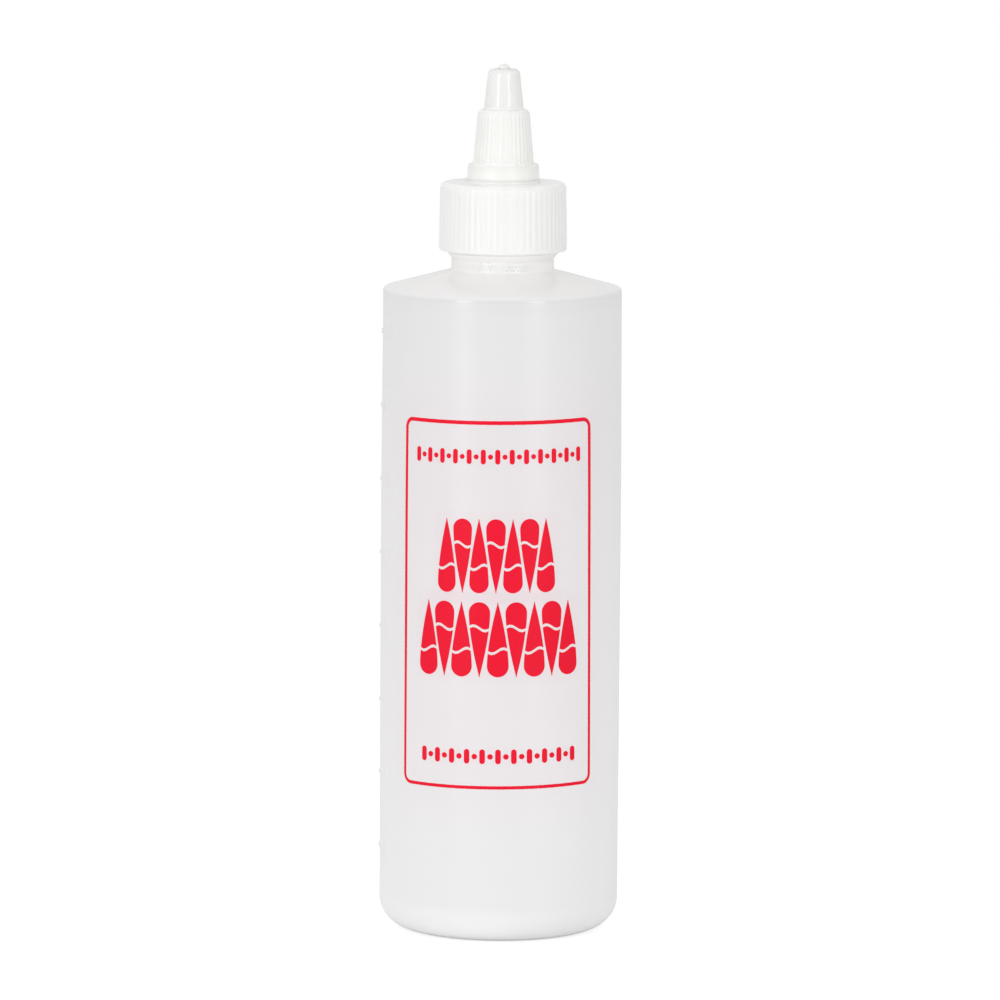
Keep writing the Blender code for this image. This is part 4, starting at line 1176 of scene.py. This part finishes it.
def moulded_plastic(name, tone, steps, gloss_z, low_gloss, high_gloss):
    """White moulded plastic with faint flow clouds, uneven gloss and a fine skin."""
    material, shader, place = new_material(name)
    z = axes(place)[2]
    clouds = spread(noise(place, 160, 4, 0.55), *NOISE_RANGE)
    # The steps hold painted light against shade in creases, besides the pieces' own tones
    tone = mixed(clouds, stepped(tone, z, steps), FLOW_SHADE, "MULTIPLY")
    haze = noise(place, 420, 4, 0.6)
    low = spread(haze, *NOISE_RANGE, *low_gloss)
    high = spread(haze, *NOISE_RANGE, *high_gloss)
    above = spread(z, gloss_z - GLOSS_STEP, gloss_z + GLOSS_STEP)
    change = math_node("MULTIPLY", above, math_node("SUBTRACT", high, low))
    skin = bump(noise(place, 900), SKIN_DEPTH)
    connect(shader, Base_Color=tone, Roughness=math_node("ADD", low, change), Normal=skin)
    connect(shader, Subsurface_Weight=0.5, Subsurface_Radius=(1.0, 0.97, 0.92))
    connect(shader, Subsurface_Scale=0.0012, IOR=1.49)
    return material


def foam():
    """Closed-cell foam."""
    material, shader, place = new_material("foam")
    cells = node(place.id_data, "ShaderNodeTexVoronoi", Vector=place, Scale=4200).outputs["Distance"]
    tone = mixed(spread(cells, 0, 0.7), FOAM_TONE, CELL_TONE)
    connect(shader, Base_Color=tone, Roughness=0.85, Normal=bump(cells, CELL_DEPTH))
    return material


def red_ink():
    """Screen-printed ink: solid, with the faint mesh and mottle that the screen leaves."""
    material, shader, place = new_material("red_ink")
    mottle = noise(place, 900, 4, 0.6)
    tone = mixed(spread(mottle, 0.3, 0.75), INK_TONE, INK_MOTTLE_TONE)
    gloss = spread(mottle, *NOISE_RANGE, *INK_GLOSS)
    connect(shader, Base_Color=tone, Roughness=gloss, Normal=bump(mottle, MESH_DEPTH))
    connect(shader, Specular_IOR_Level=0.15)
    return material


# Studio


def make_camera():
    """A camera where the photograph's stood."""
    pitch, yaw, roll = CAMERA_PITCH, CAMERA_YAW, CAMERA_ROLL
    forward = Vector((math.sin(yaw) * math.cos(pitch), math.cos(yaw) * math.cos(pitch), -math.sin(pitch)))
    side = forward.cross(Vector((0, 0, 1))).normalized()
    up = side.cross(forward)
    right = math.cos(roll) * side + math.sin(roll) * up
    top = -math.sin(roll) * side + math.cos(roll) * up
    data = bpy.data.cameras.new("camera")
    data.sensor_width = SENSOR_WIDTH_MM
    data.lens = CAMERA_FOCAL_PX * SENSOR_WIDTH_MM / IMAGE_WIDTH_PX
    data.clip_start = 0.05
    data.clip_end = 100
    camera = add_object("camera", data)
    turn = Matrix((right, top, -forward)).transposed().to_4x4()
    camera.matrix_world = Matrix.Translation(CAMERA_PLACE) @ turn
    bpy.context.scene.camera = camera


def as_seen(tree, kind, lit, shown):
    """Ends a tree with one shader for the camera, also through plastic, and another for what it lights."""
    path = tree.nodes.new("ShaderNodeLightPath")
    seen = math_node("MAXIMUM", path.outputs["Is Camera Ray"], path.outputs["Is Transmission Ray"])
    surface = node(tree, "ShaderNodeMixShader", in0=seen, in1=lit.outputs[0], in2=shown.outputs[0])
    connect(tree.nodes[kind + " Output"], Surface=surface.outputs[0])


def make_floor():
    """A pale floor that keeps the object's shadow and otherwise shows white."""
    mesh = bpy.data.meshes.new("floor")
    reach = FLOOR_REACH
    corners = [(-reach, -reach, 0), (reach, -reach, 0), (reach, reach, 0), (-reach, reach, 0)]
    mesh.from_pydata(corners, [], [(0, 1, 2, 3)])
    floor = add_object("floor", mesh)
    floor.location.z = -FLOOR_DROP
    material, shader, place = new_material("pale_floor")
    tree = material.node_tree
    tree.nodes.remove(shader)
    tone = mixed(spread(noise(place, 40, 3), *NOISE_RANGE), *FLOOR_TONES)
    lit = node(tree, "ShaderNodeBsdfDiffuse", Color=tone)
    shaded = node(tree, "ShaderNodeMixShader", in0=FLOOR_SHADOW_SHARE, in2=lit.outputs[0])
    lift = node(tree, "ShaderNodeEmission", Color=WHITE, Strength=FLOOR_LIFT)
    near = node(tree, "ShaderNodeAddShader", in0=shaded.outputs[0], in1=lift.outputs[0])
    white = node(tree, "ShaderNodeEmission", Color=WHITE, Strength=1.0)
    distance = node(tree, "ShaderNodeVectorMath", {"operation": "LENGTH"}, in0=place).outputs["Value"]
    far = spread(distance, WHITE_FROM, WHITE_BEYOND)
    shown = node(tree, "ShaderNodeMixShader", in0=far, in1=near.outputs[0], in2=white.outputs[0])
    as_seen(tree, "Material", lit, shown)
    mesh.materials.append(material)


def make_world():
    """Even studio light, a little weaker in front and on the right, that shows as white."""
    world = bpy.data.worlds.new("studio")
    bpy.context.scene.world = world
    world.use_nodes = True
    tree = world.node_tree
    x, y, z = axes(tree.nodes.new("ShaderNodeTexCoord").outputs["Generated"])
    level = spread(y, *WORLD_DEPTH_RAMP)
    for value, ramp in ((x, WORLD_SIDE_RAMP), (z, WORLD_RISE_RAMP)):
        level = math_node("MULTIPLY", level, spread(value, *ramp))
    light = connect(tree.nodes["Background"], Color=WHITE, Strength=level)
    as_seen(tree, "World", light, node(tree, "ShaderNodeBackground", Color=WHITE, Strength=1.0))


def make_lights():
    """Two tall soft lights in front, one at each side."""
    for name, angle_deg, watts in STRIPS:
        turn = math.radians(angle_deg)
        data = bpy.data.lights.new(name, "AREA")
        data.shape = "RECTANGLE"
        data.size = STRIP_WIDTH
        data.size_y = STRIP_HEIGHT
        data.energy = watts
        light = add_object(name, data)
        light.location = (STRIP_DISTANCE * math.sin(turn), -STRIP_DISTANCE * math.cos(turn), STRIP_Z)
        light.rotation_euler = (Vector(STRIP_TARGET) - light.location).to_track_quat("-Z", "Y").to_euler()


def dress(piece, body, material, replaced=None):
    """Gives a piece its material and body, and hides the CAD node that it stands for."""
    piece.data.materials.append(material)
    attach(piece, body)
    if replaced:
        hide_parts(replaced)


def main():
    """Builds and dresses the pieces, and sets up the studio."""
    milky = natural_plastic()
    closure_white = moulded_plastic("closure_plastic", CLOSURE_TONE, CLOSURE_TONE_AND_PAINTED_LIGHT_STEPS, *CLOSURE_GLOSS)
    top_white = moulded_plastic("top_plastic", COLLAR_FOOT_PAINTED_LIGHT_TONE, TOP_TONE_AND_PAINTED_LIGHT_STEPS, *TOP_GLOSS)
    ink = red_ink()
    dress(make_bottle(), "bottle", milky, "bottle")
    dress(make_marks(), "bottle", milky)
    dress(make_numerals(), "bottle", milky)
    dress(make_studs(), "bottle", milky)
    dress(make_border(), "bottle", ink, "printed_border")
    dress(make_drops(), "bottle", ink)
    dress(make_dashes(), "bottle", ink)
    dress(make_closure(), "closure", closure_white, "screw_closure")
    dress(make_top(), "top", top_white, "twist_top")
    dress(make_gasket(), "seal", foam(), "sealing_gasket")
    make_camera()
    make_floor()
    make_world()
    make_lights()
    bpy.context.scene.view_settings.view_transform = "Standard"


main()
